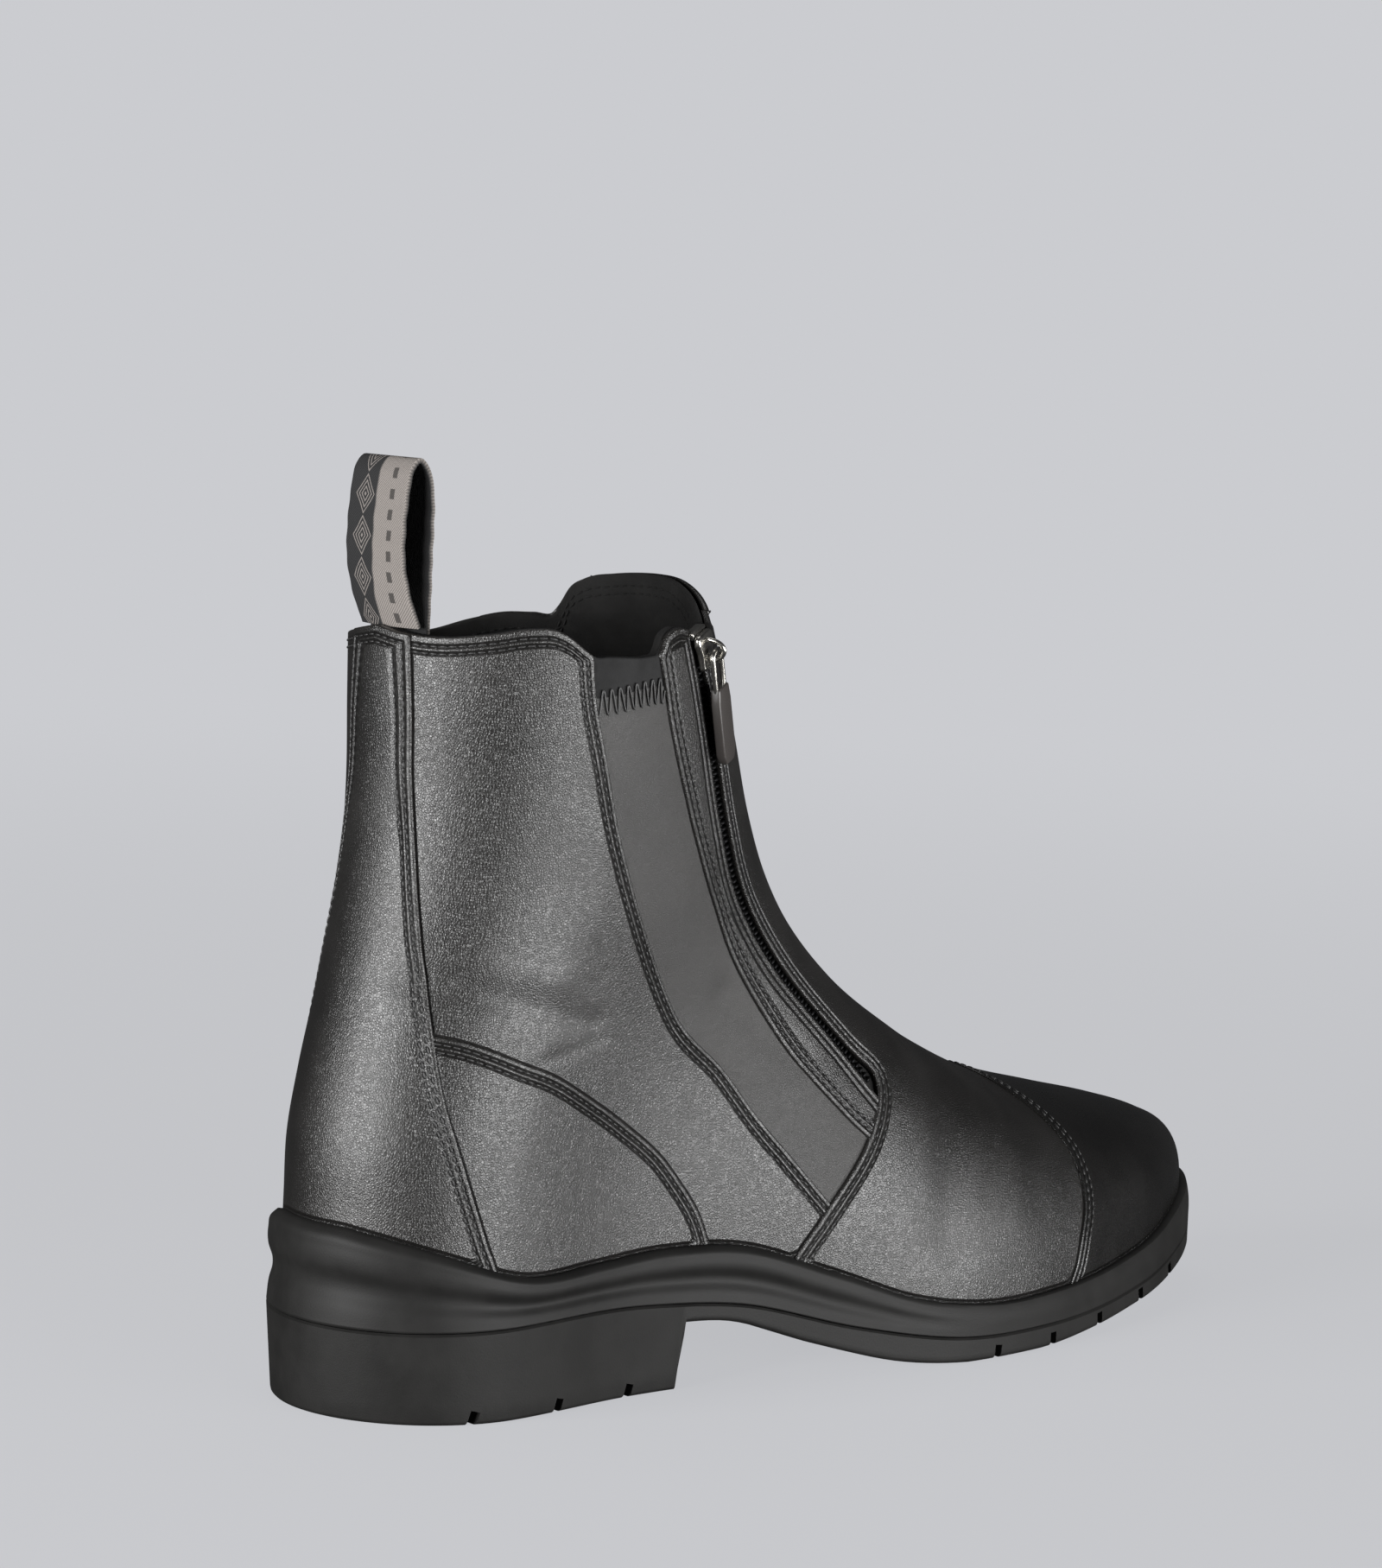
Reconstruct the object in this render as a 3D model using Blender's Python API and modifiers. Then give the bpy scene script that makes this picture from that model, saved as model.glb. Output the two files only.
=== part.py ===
"""A right paddock boot with a front zip: rubber sole, hollow leather upper, panels, zip and pull loop.

+X points to the toe, -Y to the outer (lateral) side and +Z up. The origin is on the floor,
under the middle of the heel. Lengths are in metres.
"""
import math

import bmesh
import bpy
import numpy as np
from mathutils import Matrix, Vector

# Driving dimensions of the last and of the shaft
HEEL_BACK = -0.0314
FOOT_LENGTH = 0.2750
BALL_WIDTH = 0.0900
COLLAR_HEIGHT = 0.1725
COLLAR_LENGTH = 0.0920
COLLAR_WIDTH = 0.0780

# Sole
SOLE_LIP = 0.0037
HEEL_HEIGHT = 0.0205
HEEL_LENGTH = 0.0794
HEEL_TAPER = 0.0014
BREAST_SLOPE = 0.0015
ARCH_HEIGHT = 0.0158
CUP_FLOOR = 0.0030
CUP_HEEL_HEIGHT = 0.0425
CUP_LIP = 0.35
NOTCH_WIDTH = 0.0022
NOTCH_DEPTH = 0.0032
EDGE_ROUND = 0.0010

# How far the cutters' lines and outlines run on past the seams and past the boot
PAST_SEAM = 0.0500
PAST_BOOT = 0.0700
PAST_COLLAR = 1.06

# Upper: a base shell, and panels that stand on it and reach the last's outer face, give or take
GAP = 0.0003
WALL = 0.0020
PANEL_BED = 0.0015
INSOLE_THICKNESS = 0.0030
SEAM = 0.0005
FRONT_RISE = 0.0094
OVER_MIDDLE = 0.0010
HALF_COLUMNS = 16
RIM_CLEARANCE = 0.0008
# How far each panel stands over the last's outer face
GORE_FACE = -0.0006
QUARTER_FACE = -0.0002
BAND_FACE = 0.0001
COUNTER_FACE = 0.0003
VAMP_FACE = 0.0004
STRAP_FACE = 0.0007
CAP_FACE = 0.0009

# Zip, hardware and loop
ZIP_SLOT = 0.0064
ZIP_MARGIN = 0.0004
CHAIN_WIDTH = 0.0050
CHAIN_FACE = -0.0006
TAPE_WIDTH = 0.0180
TAPE_CLEARANCE = 0.0008
TAPE_THICKNESS = 0.0008
ZIP_LOWER_END = 0.430
ZIP_UPPER_END = 0.985
BAND_WIDTH = 0.0190
SLIDER_WAY = 0.982
SLIDER_CLEARANCE = 0.0006
BAR_HEIGHT = 0.0019
TAB_REST = 4.0
SLIDER_LENGTH = 0.0085
SLIDER_WIDTH = 0.0076
SLIDER_THICKNESS = 0.0016
SLIDER_ROUND = 0.0005
NECK_WIDTH = 0.0025
NECK_LENGTH = 0.0051
BAIL_WIRE = 0.0011
BAIL_HEIGHT = 0.0042
BAIL_LENGTH = 0.0052
LINK_LENGTH = 0.0110
LINK_WIDTH = 0.0046
LINK_WIRE = 0.0012
LINK_CORNER = 0.8
LINK_IN_TAB = 0.0025
TAB_LENGTH = 0.0180
TAB_WIDTH = 0.0066
TAB_THICKNESS = 0.0022
TAB_ROUND = 0.0006
SINK = 0.0004
LOOP_HEIGHT = 0.0367
LOOP_WIDTH = 0.0200
LOOP_GAP = 0.0056
LOOP_TAIL = 0.0140
WEBBING = 0.0012

# Where one part of the last blends into the next. Columns: where the blend starts, where it ends
HEEL_FLOOR = (0.20, 0.40)
GROOVE_FADE = (0.34, 0.60)
INSTEP_FAN = (15.0, 75.0)
LEG_BLEND = (0.25, 0.65)
MIDDLE_BLEND = (0.00, 0.50)
COLLAR_BLEND = (0.86, 1.00)
# A place along the foot that is inside the upper at each height, and the turns kept free at the breast
CORE_PLACE = 0.45
BREAST_ROOM = 0.012
# How far up the feather line's curve is felt: at the front line, and elsewhere
FLOOR_FADE = (0.09, 0.50)
FLOOR_FADE_TURN = 0.25

# Columns: place along the foot / FOOT_LENGTH, lateral half width / BALL_WIDTH,
# medial half width / BALL_WIDTH, middle line / BALL_WIDTH
PLAN = (
    (0.00, 0.350, 0.345, 0.000),
    (0.12, 0.348, 0.348, 0.000),
    (0.25, 0.312, 0.330, 0.000),
    (0.36, 0.338, 0.305, 0.000),
    (0.46, 0.422, 0.318, 0.000),
    (0.56, 0.488, 0.385, 0.010),
    (0.66, 0.488, 0.445, 0.024),
    (0.74, 0.452, 0.460, 0.040),
    (0.82, 0.400, 0.425, 0.060),
    (0.90, 0.345, 0.360, 0.080),
    (1.00, 0.285, 0.280, 0.100),
)
# Columns: place along the foot / FOOT_LENGTH, height of the sole's rim / CUP_HEEL_HEIGHT
RIM = (
    (0.00, 1.000), (0.05, 0.890), (0.12, 0.745), (0.20, 0.745), (0.28, 0.770), (0.36, 0.735),
    (0.44, 0.565), (0.52, 0.380), (0.60, 0.300), (0.68, 0.300), (0.76, 0.330), (0.84, 0.410),
    (0.92, 0.540), (1.00, 0.650),
)
# Columns: place along the foot / FOOT_LENGTH, top of the outsole / HEEL_HEIGHT
LINE = (
    (0.00, 1.000), (0.26, 1.000), (0.36, 0.870), (0.46, 0.530), (0.56, 0.300), (0.66, 0.265),
    (0.74, 0.295), (0.82, 0.410), (0.90, 0.620), (1.00, 0.860),
)
# Columns: place along the foot / FOOT_LENGTH, lift of the tread in front of the heel / ARCH_HEIGHT
ARCH = (
    (0.28, 1.00), (0.34, 0.93), (0.42, 0.50), (0.50, 0.13), (0.57, 0.00), (0.66, 0.00), (0.74, 0.09),
    (0.82, 0.25), (0.90, 0.48), (1.00, 0.76),
)
# Columns: height / COLLAR_HEIGHT, place of the back seam / COLLAR_LENGTH
BACK = (
    (0.00, -0.018), (0.26, -0.018), (0.34, -0.016), (0.42, 0.008), (0.55, 0.062), (0.68, 0.106),
    (0.80, 0.124), (0.90, 0.124), (1.00, 0.124),
)
# From the toe tip to the collar. Columns: place along the foot / FOOT_LENGTH,
# height over the toe's floor / the collar's height over it
FRONT = (
    (0.998, 0.000), (0.998, 0.052), (0.996, 0.094), (0.984, 0.121), (0.950, 0.149), (0.895, 0.178),
    (0.815, 0.211), (0.700, 0.264), (0.592, 0.355), (0.502, 0.466), (0.440, 0.591), (0.407, 0.716),
    (0.386, 0.830), (0.369, 0.920), (0.352, 1.000),
)
# Columns: height / COLLAR_HEIGHT, half width / COLLAR_WIDTH, depth of the back's rounding / COLLAR_LENGTH,
# depth of the front's rounding / COLLAR_LENGTH
LEG = (
    (0.18, 0.400, 0.36, 0.62), (0.35, 0.405, 0.38, 0.60), (0.50, 0.410, 0.42, 0.58),
    (0.65, 0.430, 0.46, 0.56), (0.80, 0.465, 0.48, 0.54), (1.00, 0.500, 0.50, 0.50),
)
# Columns: place along the foot / FOOT_LENGTH, fullness of the cross section over the rim
VAULT = ((0.35, 1.9), (0.55, 2.0), (0.70, 2.2), (0.85, 2.5), (1.00, 2.6))
TOE_ROUNDING = 0.17
INSTEP_CENTRE = (0.56, 0.84)

# Columns: place / FOOT_LENGTH, tilt about the foot's width in radians; cuts across the tread's edge
NOTCHES = (
    (0.072, 0.25), (0.157, 0.25), (0.237, 0.25), (0.602, 0.1), (0.677, 0.0), (0.752, -0.1),
    (0.827, -0.2), (0.892, -0.3),
)
# Columns: share of the way down the side, outward place / SOLE_LIP; bead, groove and band
CUP_SIDE = (
    (0.00, 0.45), (0.06, 0.82), (0.20, 1.00), (0.38, 0.98), (0.54, 0.70), (0.62, 0.68), (0.80, 0.90),
    (1.00, 1.00),
)


def column(table, place, index):
    """Smooth curve through one column of a table, read at the places given."""
    at = np.array([row[0] for row in table])
    value = np.array([row[index] for row in table])
    width = np.diff(at)
    rise = np.diff(value) / width
    slope = np.concatenate(([rise[0]], rise[:-1] * width[1:] + rise[1:] * width[:-1], [rise[-1]]))
    slope[1:-1] /= width[1:] + width[:-1]
    place = np.clip(place, at[0], at[-1])
    k = np.clip(np.searchsorted(at, place) - 1, 0, len(width) - 1)
    w = width[k]
    s = (place - at[k]) / w
    start = (1 + 2 * s) * (1 - s) ** 2 * value[k] + s * (1 - s) ** 2 * w * slope[k]
    return start + s * s * (3 - 2 * s) * value[k + 1] + s * s * (s - 1) * w * slope[k + 1]


def ease(share):
    """Soft step from 0 to 1."""
    share = np.clip(share, 0.0, 1.0)
    return share * share * (3 - 2 * share)


def blend(value, limits):
    """Soft step from 0 at the first limit to 1 at the second."""
    return ease((value - limits[0]) / (limits[1] - limits[0]))


def rounding(share, fullness=2.0):
    """Quarter of a superellipse: 0 at the end, 1 from one rounding depth inwards."""
    share = np.clip(share, 0.0, 1.0)
    return np.maximum(1 - (1 - share) ** fullness, 0.0) ** (1 / fullness)


def heel_breast():
    return HEEL_BACK + HEEL_LENGTH


def along(x):
    """Share of the way from the heel's back to the toe."""
    return (x - HEEL_BACK) / FOOT_LENGTH


def rim_height(x):
    return column(RIM, along(x), 1) * CUP_HEEL_HEIGHT


def line_height(x):
    """Top of the outsole, where the cup starts."""
    return column(LINE, along(x), 1) * HEEL_HEIGHT


def floor_height(x):
    """Floor inside the cup, twice as thick under the heel."""
    return line_height(x) + CUP_FLOOR * (2 - blend(along(x), HEEL_FLOOR))


def front_curve(count=400):
    """The front line from the toe tip to the collar: way up (0 to 1), x, z and its whole length."""
    x = HEEL_BACK + np.array([row[0] for row in FRONT]) * FOOT_LENGTH
    toe_floor = floor_height(x[0])
    z = toe_floor + np.array([row[1] for row in FRONT]) * (COLLAR_HEIGHT - toe_floor)
    way = np.concatenate(([0.0], np.cumsum(np.hypot(np.diff(x), np.diff(z)))))
    rows = list(zip(way / way[-1], x, z))
    at = np.linspace(0.0, 1.0, count)
    return at, column(rows, at, 1), column(rows, at, 2), way[-1]


FRONT_WAY, FRONT_X, FRONT_Z, FRONT_SPAN = front_curve()
TIP = int(FRONT_X.argmax())


def back_line(z):
    return HEEL_BACK + column(BACK, z / COLLAR_HEIGHT, 1) * COLLAR_LENGTH


def top_line(x):
    """Height of the front line over a place along the foot."""
    return np.interp(x, FRONT_X[TIP:][::-1], FRONT_Z[TIP:][::-1])


def nose_line(z):
    """The toe's foremost place at a height, below the toe's tip; above it the tip itself."""
    return np.interp(np.minimum(z, FRONT_Z[TIP]), FRONT_Z, FRONT_X)


def half_widths(x, z):
    """Outer and inner half width and the middle line, for points of the side view."""
    place = along(x)
    centre_x = HEEL_BACK + INSTEP_CENTRE[0] * FOOT_LENGTH
    centre_z = INSTEP_CENTRE[1] * COLLAR_HEIGHT
    turn = np.degrees(np.arctan2(centre_x - x, np.maximum(centre_z - z, 1e-6)))
    foot = np.where(z >= centre_z, 0.0, 1 - blend(turn, INSTEP_FAN))
    up = z / COLLAR_HEIGHT
    leg = column(LEG, up, 1) * COLLAR_WIDTH
    rise = blend(up, LEG_BLEND) * (1 - foot)
    arch = (z - rim_height(x)) / np.maximum(top_line(x) - rim_height(x), 1e-6)
    vault = np.sqrt(np.maximum(1 - np.clip(arch, 0.0, 1.0) ** column(VAULT, place, 1), 0.0))
    front = rounding((np.interp(z, FRONT_Z, FRONT_X) - x) / (column(LEG, up, 3) * COLLAR_LENGTH))
    back = rounding((x - back_line(z)) / (column(LEG, up, 2) * COLLAR_LENGTH))
    toe = rounding((nose_line(z) - x) / (TOE_ROUNDING * FOOT_LENGTH))
    section = back * (vault * foot + front * (1 - foot)) * toe
    outer = (column(PLAN, place, 1) * BALL_WIDTH * (1 - rise) + leg * rise) * section
    inner = (column(PLAN, place, 2) * BALL_WIDTH * (1 - rise) + leg * rise) * section
    middle = column(PLAN, place, 3) * BALL_WIDTH
    return outer, inner, middle


# Seams of the upper, as they run in the side view.
# Columns: place along the foot / FOOT_LENGTH, height / COLLAR_HEIGHT
QUARTER_EDGE = (
    (0.490, 0.130), (0.462, 0.190), (0.437, 0.232), (0.402, 0.296), (0.369, 0.354), (0.332, 0.423),
    (0.289, 0.481), (0.256, 0.556), (0.226, 0.638), (0.205, 0.707), (0.190, 0.765), (0.173, 0.852),
    (0.161, 0.920), (0.153, 1.010),
)
VAMP_EDGE = (
    (0.385, 0.080), (0.405, 0.162), (0.420, 0.191), (0.438, 0.232), (0.460, 0.272), (0.478, 0.307),
    (0.492, 0.342), (0.503, 0.377), (0.508, 0.400),
)
VAMP_INNER = (
    (0.385, 0.080), (0.405, 0.162), (0.425, 0.232), (0.430, 0.300), (0.415, 0.370), (0.385, 0.440),
    (0.350, 0.520), (0.315, 0.610), (0.285, 0.710), (0.262, 0.820), (0.250, 0.920), (0.243, 1.060),
)
CAP_SEAM = (
    (0.700, 0.030), (0.714, 0.075), (0.723, 0.099), (0.733, 0.139), (0.743, 0.174), (0.748, 0.209),
    (0.748, 0.242), (0.742, 0.272), (0.728, 0.305), (0.705, 0.345), (0.675, 0.400),
)
COUNTER_SEAM = (
    (0.030, 0.498), (0.063, 0.489), (0.089, 0.475), (0.114, 0.458), (0.151, 0.435), (0.191, 0.400),
    (0.227, 0.365), (0.267, 0.319), (0.294, 0.272), (0.312, 0.232), (0.323, 0.191), (0.332, 0.140),
    (0.338, 0.080),
)
STRAP_EDGE = (
    (0.106, 0.080), (0.100, 0.162), (0.093, 0.200), (0.085, 0.232), (0.071, 0.301), (0.060, 0.365),
    (0.053, 0.423), (0.050, 0.500), (0.049, 0.600), (0.050, 0.730), (0.049, 0.860), (0.046, 1.060),
)
# The middle of the zip. Columns: way up (0 at the feather line, 1 at the collar),
# turn (0 front, -1 back seam)
ZIP_LINE = (
    (0.30, -0.386), (0.38, -0.372), (0.45, -0.356), (0.52, -0.345), (0.60, -0.340), (0.80, -0.338),
    (1.00, -0.350),
)
# The band between gore and zip. Columns: way up, distance behind the zip's middle / BAND_WIDTH
BAND_EDGE = (
    (0.20, 0.940), (0.30, 0.945), (0.38, 1.005), (0.46, 1.055), (0.50, 1.020), (0.55, 0.950),
    (0.60, 0.855), (0.70, 0.680), (0.80, 0.730), (0.90, 0.825), (1.00, 0.790), (1.06, 0.850),
)
# The upper's top edge: low over the gore, raised at the front.
# Columns: turn, height over the collar / FRONT_RISE
TOP_LINE = (
    (-1.000, 0.00), (-0.930, -0.14), (-0.860, -0.18), (-0.760, -0.04), (-0.690, 0.12), (-0.650, 0.09),
    (-0.628, -0.08),
    (-0.608, -0.34), (-0.590, -0.54), (-0.560, -0.56), (-0.475, -0.56), (-0.462, -0.35), (-0.450, -0.15),
    (-0.405, 0.08), (-0.360, 0.02), (-0.330, -0.03), (-0.200, 0.00), (-0.160, 0.05), (-0.130, 0.24),
    (-0.100, 0.48), (-0.050, 0.77), (0.000, 0.95), (0.050, 1.00), (0.100, 0.99), (0.150, 0.93),
    (0.200, 0.80), (0.230, 0.54), (0.245, 0.20), (0.262, -0.08), (0.300, -0.11), (0.350, -0.12),
    (0.420, -0.31), (0.500, -0.58), (0.600, -0.62), (0.750, -0.48), (0.900, -0.22), (1.000, 0.00),
)


def surface(way, turn, lift=0.0):
    """Point of the upper, by its way up and its turn, lifted outwards off the last's outer face."""
    way, turn = np.broadcast_arrays(np.asarray(way, float), np.asarray(turn, float))
    if np.any(lift):
        step = 0.012
        across = sum(surface(way, turn + reach) - surface(way, turn - reach) for reach in (step, 2 * step))
        up = surface(way + step, turn) - surface(np.maximum(way - step, 0.0), turn)
        normal = np.cross(across, up)
        normal /= np.linalg.norm(normal, axis=-1, keepdims=True)
        return surface(way, turn) + normal * np.asarray(lift)[..., None]
    angle = turn * math.pi
    front_x = np.interp(way, FRONT_WAY, FRONT_X)
    front_z = np.interp(way, FRONT_WAY, FRONT_Z) + np.maximum(way - 1, 0.0) * FRONT_SPAN
    heel_z = float(floor_height(HEEL_BACK))
    back_z = heel_z + (COLLAR_HEIGHT - heel_z) * way
    share = (1 + np.cos(angle)) / 2
    x = back_line(back_z) * (1 - share) + front_x * share
    level = back_z * (1 - share) + front_z * share
    lowest = heel_z * (1 - share) + FRONT_Z[0] * share
    fade = FLOOR_FADE[0] + (FLOOR_FADE[1] - FLOOR_FADE[0]) * ease((1 - share) / FLOOR_FADE_TURN)
    z = level + (floor_height(x) - lowest) * (1 - ease(way / fade))
    z = np.maximum(z, floor_height(x))
    outer, inner, middle = half_widths(x, z)
    side = np.where(np.sin(angle) < 0, -outer, inner)
    y = middle * blend(along(x), MIDDLE_BLEND) + side
    return np.stack((x, y, z), -1)


def sideways(way, turn, distance):
    """The turn that lies a distance in metres further round."""
    step = 0.004
    reach = np.linalg.norm(surface(way, turn + step) - surface(way, turn - step), axis=-1)
    return turn + distance * 2 * step / reach


def zip_line(way):
    return column(ZIP_LINE, way, 1)


def top_height(turn):
    """Height of the upper's top edge over the collar."""
    return column(TOP_LINE, turn, 1) * FRONT_RISE


def top_way(turn):
    """The way at which the upper ends."""
    share = (1 + np.cos(turn * math.pi)) / 2
    span = (COLLAR_HEIGHT - HEEL_HEIGHT) * (1 - share) + FRONT_SPAN * share
    return 1 + top_height(turn) / span


# Meshes


def plain_material(name, colour, roughness, metallic=0.0):
    material = bpy.data.materials.new(name)
    material.use_nodes = True
    shader = material.node_tree.nodes["Principled BSDF"]
    shader.inputs["Base Color"].default_value = (*colour, 1.0)
    shader.inputs["Roughness"].default_value = roughness
    shader.inputs["Metallic"].default_value = metallic
    return material


def add_object(name, points, faces, material):
    """One object from points and faces, with its doubles merged and its faces turned outwards."""
    mesh = bpy.data.meshes.new(name)
    shape = bmesh.new()
    corners = [shape.verts.new(point) for point in np.reshape(points, (-1, 3))]
    for face in faces:
        shape.faces.new([corners[i] for i in face])
    bmesh.ops.remove_doubles(shape, verts=shape.verts, dist=1e-5)
    bmesh.ops.recalc_face_normals(shape, faces=shape.faces)
    shape.to_mesh(mesh)
    shape.free()
    mesh.shade_smooth()
    mesh.set_sharp_from_angle(angle=math.radians(40))
    item = bpy.data.objects.new(name, mesh)
    if material:
        item.data.materials.append(material)
    boot.objects.link(item)
    return item


def grid_faces(rows, columns, closed=False, first=0):
    """Triangles of a grid of points, row by row; a closed grid joins its last column to its first."""
    faces = []
    for r in range(rows - 1):
        for c in range(columns if closed else columns - 1):
            faces += split_quad(*grid_corners(r, c, columns, first))
    return faces


def grid_corners(row, place, columns, first=0):
    near, far = first + row * columns, first + (row + 1) * columns
    following = (place + 1) % columns
    return near + place, near + following, far + following, far + place


def split_quad(a, b, c, d):
    return [(a, b, c), (a, c, d)]


def face_outwards(item):
    """Turns an open sheet's faces away from the middle of the boot."""
    mesh = item.data
    core = HEEL_BACK + CORE_PLACE * FOOT_LENGTH
    spread = sum(
        (polygon.center.x - core) * polygon.normal.x + polygon.center.y * polygon.normal.y
        for polygon in mesh.polygons
    )
    if spread < 0:
        mesh.flip_normals()


# Sole


def round_turns():
    """Turns all round the last, in shares of half a round, from the back seam by the outer side."""
    return np.arange(-HALF_COLUMNS, HALF_COLUMNS) / HALF_COLUMNS


def stations():
    """Turns round the sole: the upper's own, those halfway, and two at the heel's breast on each side."""
    even = np.arange(0, 2 * HALF_COLUMNS + 1) / (2 * HALF_COLUMNS)
    heel = surface(0.0, 1.0)[0]
    toe = surface(0.0, 0.0)[0]
    edges = (heel_breast(), heel_breast() + BREAST_SLOPE)
    breast = [math.acos(2 * (x - heel) / (toe - heel) - 1) / math.pi for x in edges]
    halfway = np.arange(len(even)) % 2 == 1
    near = np.min([abs(even - place) for place in breast], axis=0) < BREAST_ROOM
    half = np.array(sorted(list(even[~(halfway & near)]) + breast))
    return np.concatenate((-half[::-1][:-1], half[:-1]))


def sole_ring(turns, outward, height):
    """A closed ring round the sole: the last's outline moved outwards, at a height given by the place."""
    base = surface(0.0, turns)
    step = 0.004
    run = surface(0.0, turns + step) - surface(0.0, turns - step)
    normal = np.stack((run[:, 1], -run[:, 0]), -1)
    normal /= np.linalg.norm(normal, axis=-1, keepdims=True)
    ring = base.copy()
    ring[:, :2] += normal * np.asarray(outward).reshape(-1, 1)
    ring[:, 2] = height(base[:, 0])
    return ring


def inner_ring(turns, outward, height):
    """A ring round the inside of the cup, straight between the upper's columns so that it follows them."""
    corners = np.append(round_turns(), 1.0)
    ring = sole_ring(corners, outward, height)
    return np.stack([np.interp(turns, corners, ring[:, axis]) for axis in range(3)], -1)


def close_rings(name, rings, material):
    """A closed solid from rings stacked end to end; its first and last ring are closed across the foot."""
    count = len(rings[0])
    faces = grid_faces(len(rings), count, closed=True)
    half = count // 2
    for first in (0, (len(rings) - 1) * count):
        for k in range(half):
            a, b = half - k, half + k
            c, d = (half + k + 1) % count, half - k - 1
            loop = list(dict.fromkeys((first + a, first + b, first + c, first + d)))
            faces.append(loop)
    return add_object(name, np.concatenate(rings), faces, material)


def tread_height(x):
    """Underside of the outsole: flat under the heel, stepped up at its breast, flat again at the ball."""
    arch = np.maximum(column(ARCH, along(x), 1), 0.0) * ARCH_HEIGHT
    return arch * np.clip((x - heel_breast()) / BREAST_SLOPE, 0.0, 1.0)


def make_outsole(material):
    turns = stations()
    base = surface(0.0, turns)
    heel = ease((heel_breast() + BREAST_SLOPE - base[:, 0]) / BREAST_SLOPE)
    edge = SOLE_LIP - HEEL_TAPER * heel
    item = close_rings("outsole", (
        sole_ring(turns, edge - EDGE_ROUND, tread_height),
        sole_ring(turns, edge, lambda x: tread_height(x) + EDGE_ROUND),
        sole_ring(turns, SOLE_LIP, lambda x: line_height(x) - EDGE_ROUND),
        sole_ring(turns, SOLE_LIP - EDGE_ROUND / 2, line_height),
    ), material)
    for number, (place, tilt) in enumerate(NOTCHES):
        x = HEEL_BACK + place * FOOT_LENGTH
        cutter = cutter_box(
            f"notch_cutter_{number}", (NOTCH_WIDTH, 2 * BALL_WIDTH, 2 * NOTCH_DEPTH),
            (x, 0.0, float(tread_height(np.array(x)))), tilt,
        )
        cut = item.modifiers.new("notch", "BOOLEAN")
        cut.operation = "DIFFERENCE"
        cut.solver = "EXACT"
        cut.object = cutter


def cutter_box(name, size, middle, tilt):
    bpy.ops.mesh.primitive_cube_add(size=1.0)
    cutter = bpy.context.object
    cutter.name = name
    scale = Matrix.Diagonal((*size, 1.0))
    cutter.matrix_world = Matrix.Translation(middle) @ Matrix.Rotation(tilt, 4, "Y") @ scale
    cutter.hide_render = True
    cutter.display_type = "WIRE"
    for home in list(cutter.users_collection):
        home.objects.unlink(cutter)
    cutters.objects.link(cutter)
    return cutter


def make_midsole(material):
    """The cup: a floor on the outsole, and a side with its bead, groove and flared band."""
    turns = stations()
    base = surface(0.0, turns)
    groove = 1 - blend(along(base[:, 0]), GROOVE_FADE)
    rings = [sole_ring(turns, SOLE_LIP - EDGE_ROUND, lambda x: line_height(x) + GAP)]
    for down, outward in reversed(CUP_SIDE):
        full = rounding(CUP_LIP + down)
        reach = (outward * groove + full * (1 - groove)) * SOLE_LIP
        rings.append(sole_ring(turns, reach, lambda x, d=down: cup_height(x, 1 - d)))
    lip = inner_ring(turns, GAP - PANEL_BED, rim_height)
    lip[:, 2] = rim_height(lip[:, 0])
    rings.append(lip)
    rings.append(inner_ring(turns, GAP - PANEL_BED, lambda x: floor_height(x) - GAP))
    close_rings("midsole", rings, material)


def cup_height(x, share):
    low = line_height(x) + GAP
    return low + (rim_height(x) - low) * share


def make_insole(material):
    turns = round_turns()
    edge = -PANEL_BED - WALL - GAP
    close_rings("insole", (
        sole_ring(turns, edge, floor_height),
        sole_ring(turns, edge, lambda x: floor_height(x) + INSOLE_THICKNESS),
    ), material)


# Upper


def upper_rows(lift):
    """Rows of points round the upper, from the feather line up; two columns follow the zip's slot."""
    toe = np.linspace(0.0, 0.20, 7)
    vamp = np.linspace(0.20, ZIP_LOWER_END, 6)[1:]
    shaft = np.linspace(ZIP_LOWER_END, 1.0, 11)[1:]
    rows = []
    for way in np.concatenate((toe, vamp, shaft)):
        turns = round_turns()
        follow = ease(way / ZIP_LOWER_END)
        for place, side in ((slot_column(), -1), (slot_column() + 1, 1)):
            edge = sideways(way, zip_line(way), side * ZIP_SLOT / 2)
            turns[place] += (edge - turns[place]) * follow
        reach = way + (top_way(turns) - 1) * blend(way, COLLAR_BLEND)
        rows.append(surface(reach, turns, lift))
    return rows, len(toe) + len(vamp) - 1


def slot_column():
    """The column of the grid that lies just behind the zip."""
    return int(np.floor((zip_line(1.0) + 1) * HALF_COLUMNS))


def make_upper(material):
    """The hollow shell: lining and base leather, open above, below and down the zip's slot."""
    rows, slot_row = upper_rows(-PANEL_BED)
    count = 2 * HALF_COLUMNS
    faces = []
    for row in range(len(rows) - 1):
        for place in range(count):
            if row < slot_row or place != slot_column():
                faces += split_quad(*grid_corners(row, place, count))
    item = add_object("upper", np.concatenate(rows), faces, material)
    face_outwards(item)
    wall = item.modifiers.new("wall", "SOLIDIFY")
    wall.thickness = WALL
    wall.offset = -1
    wall.use_even_offset = False


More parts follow.
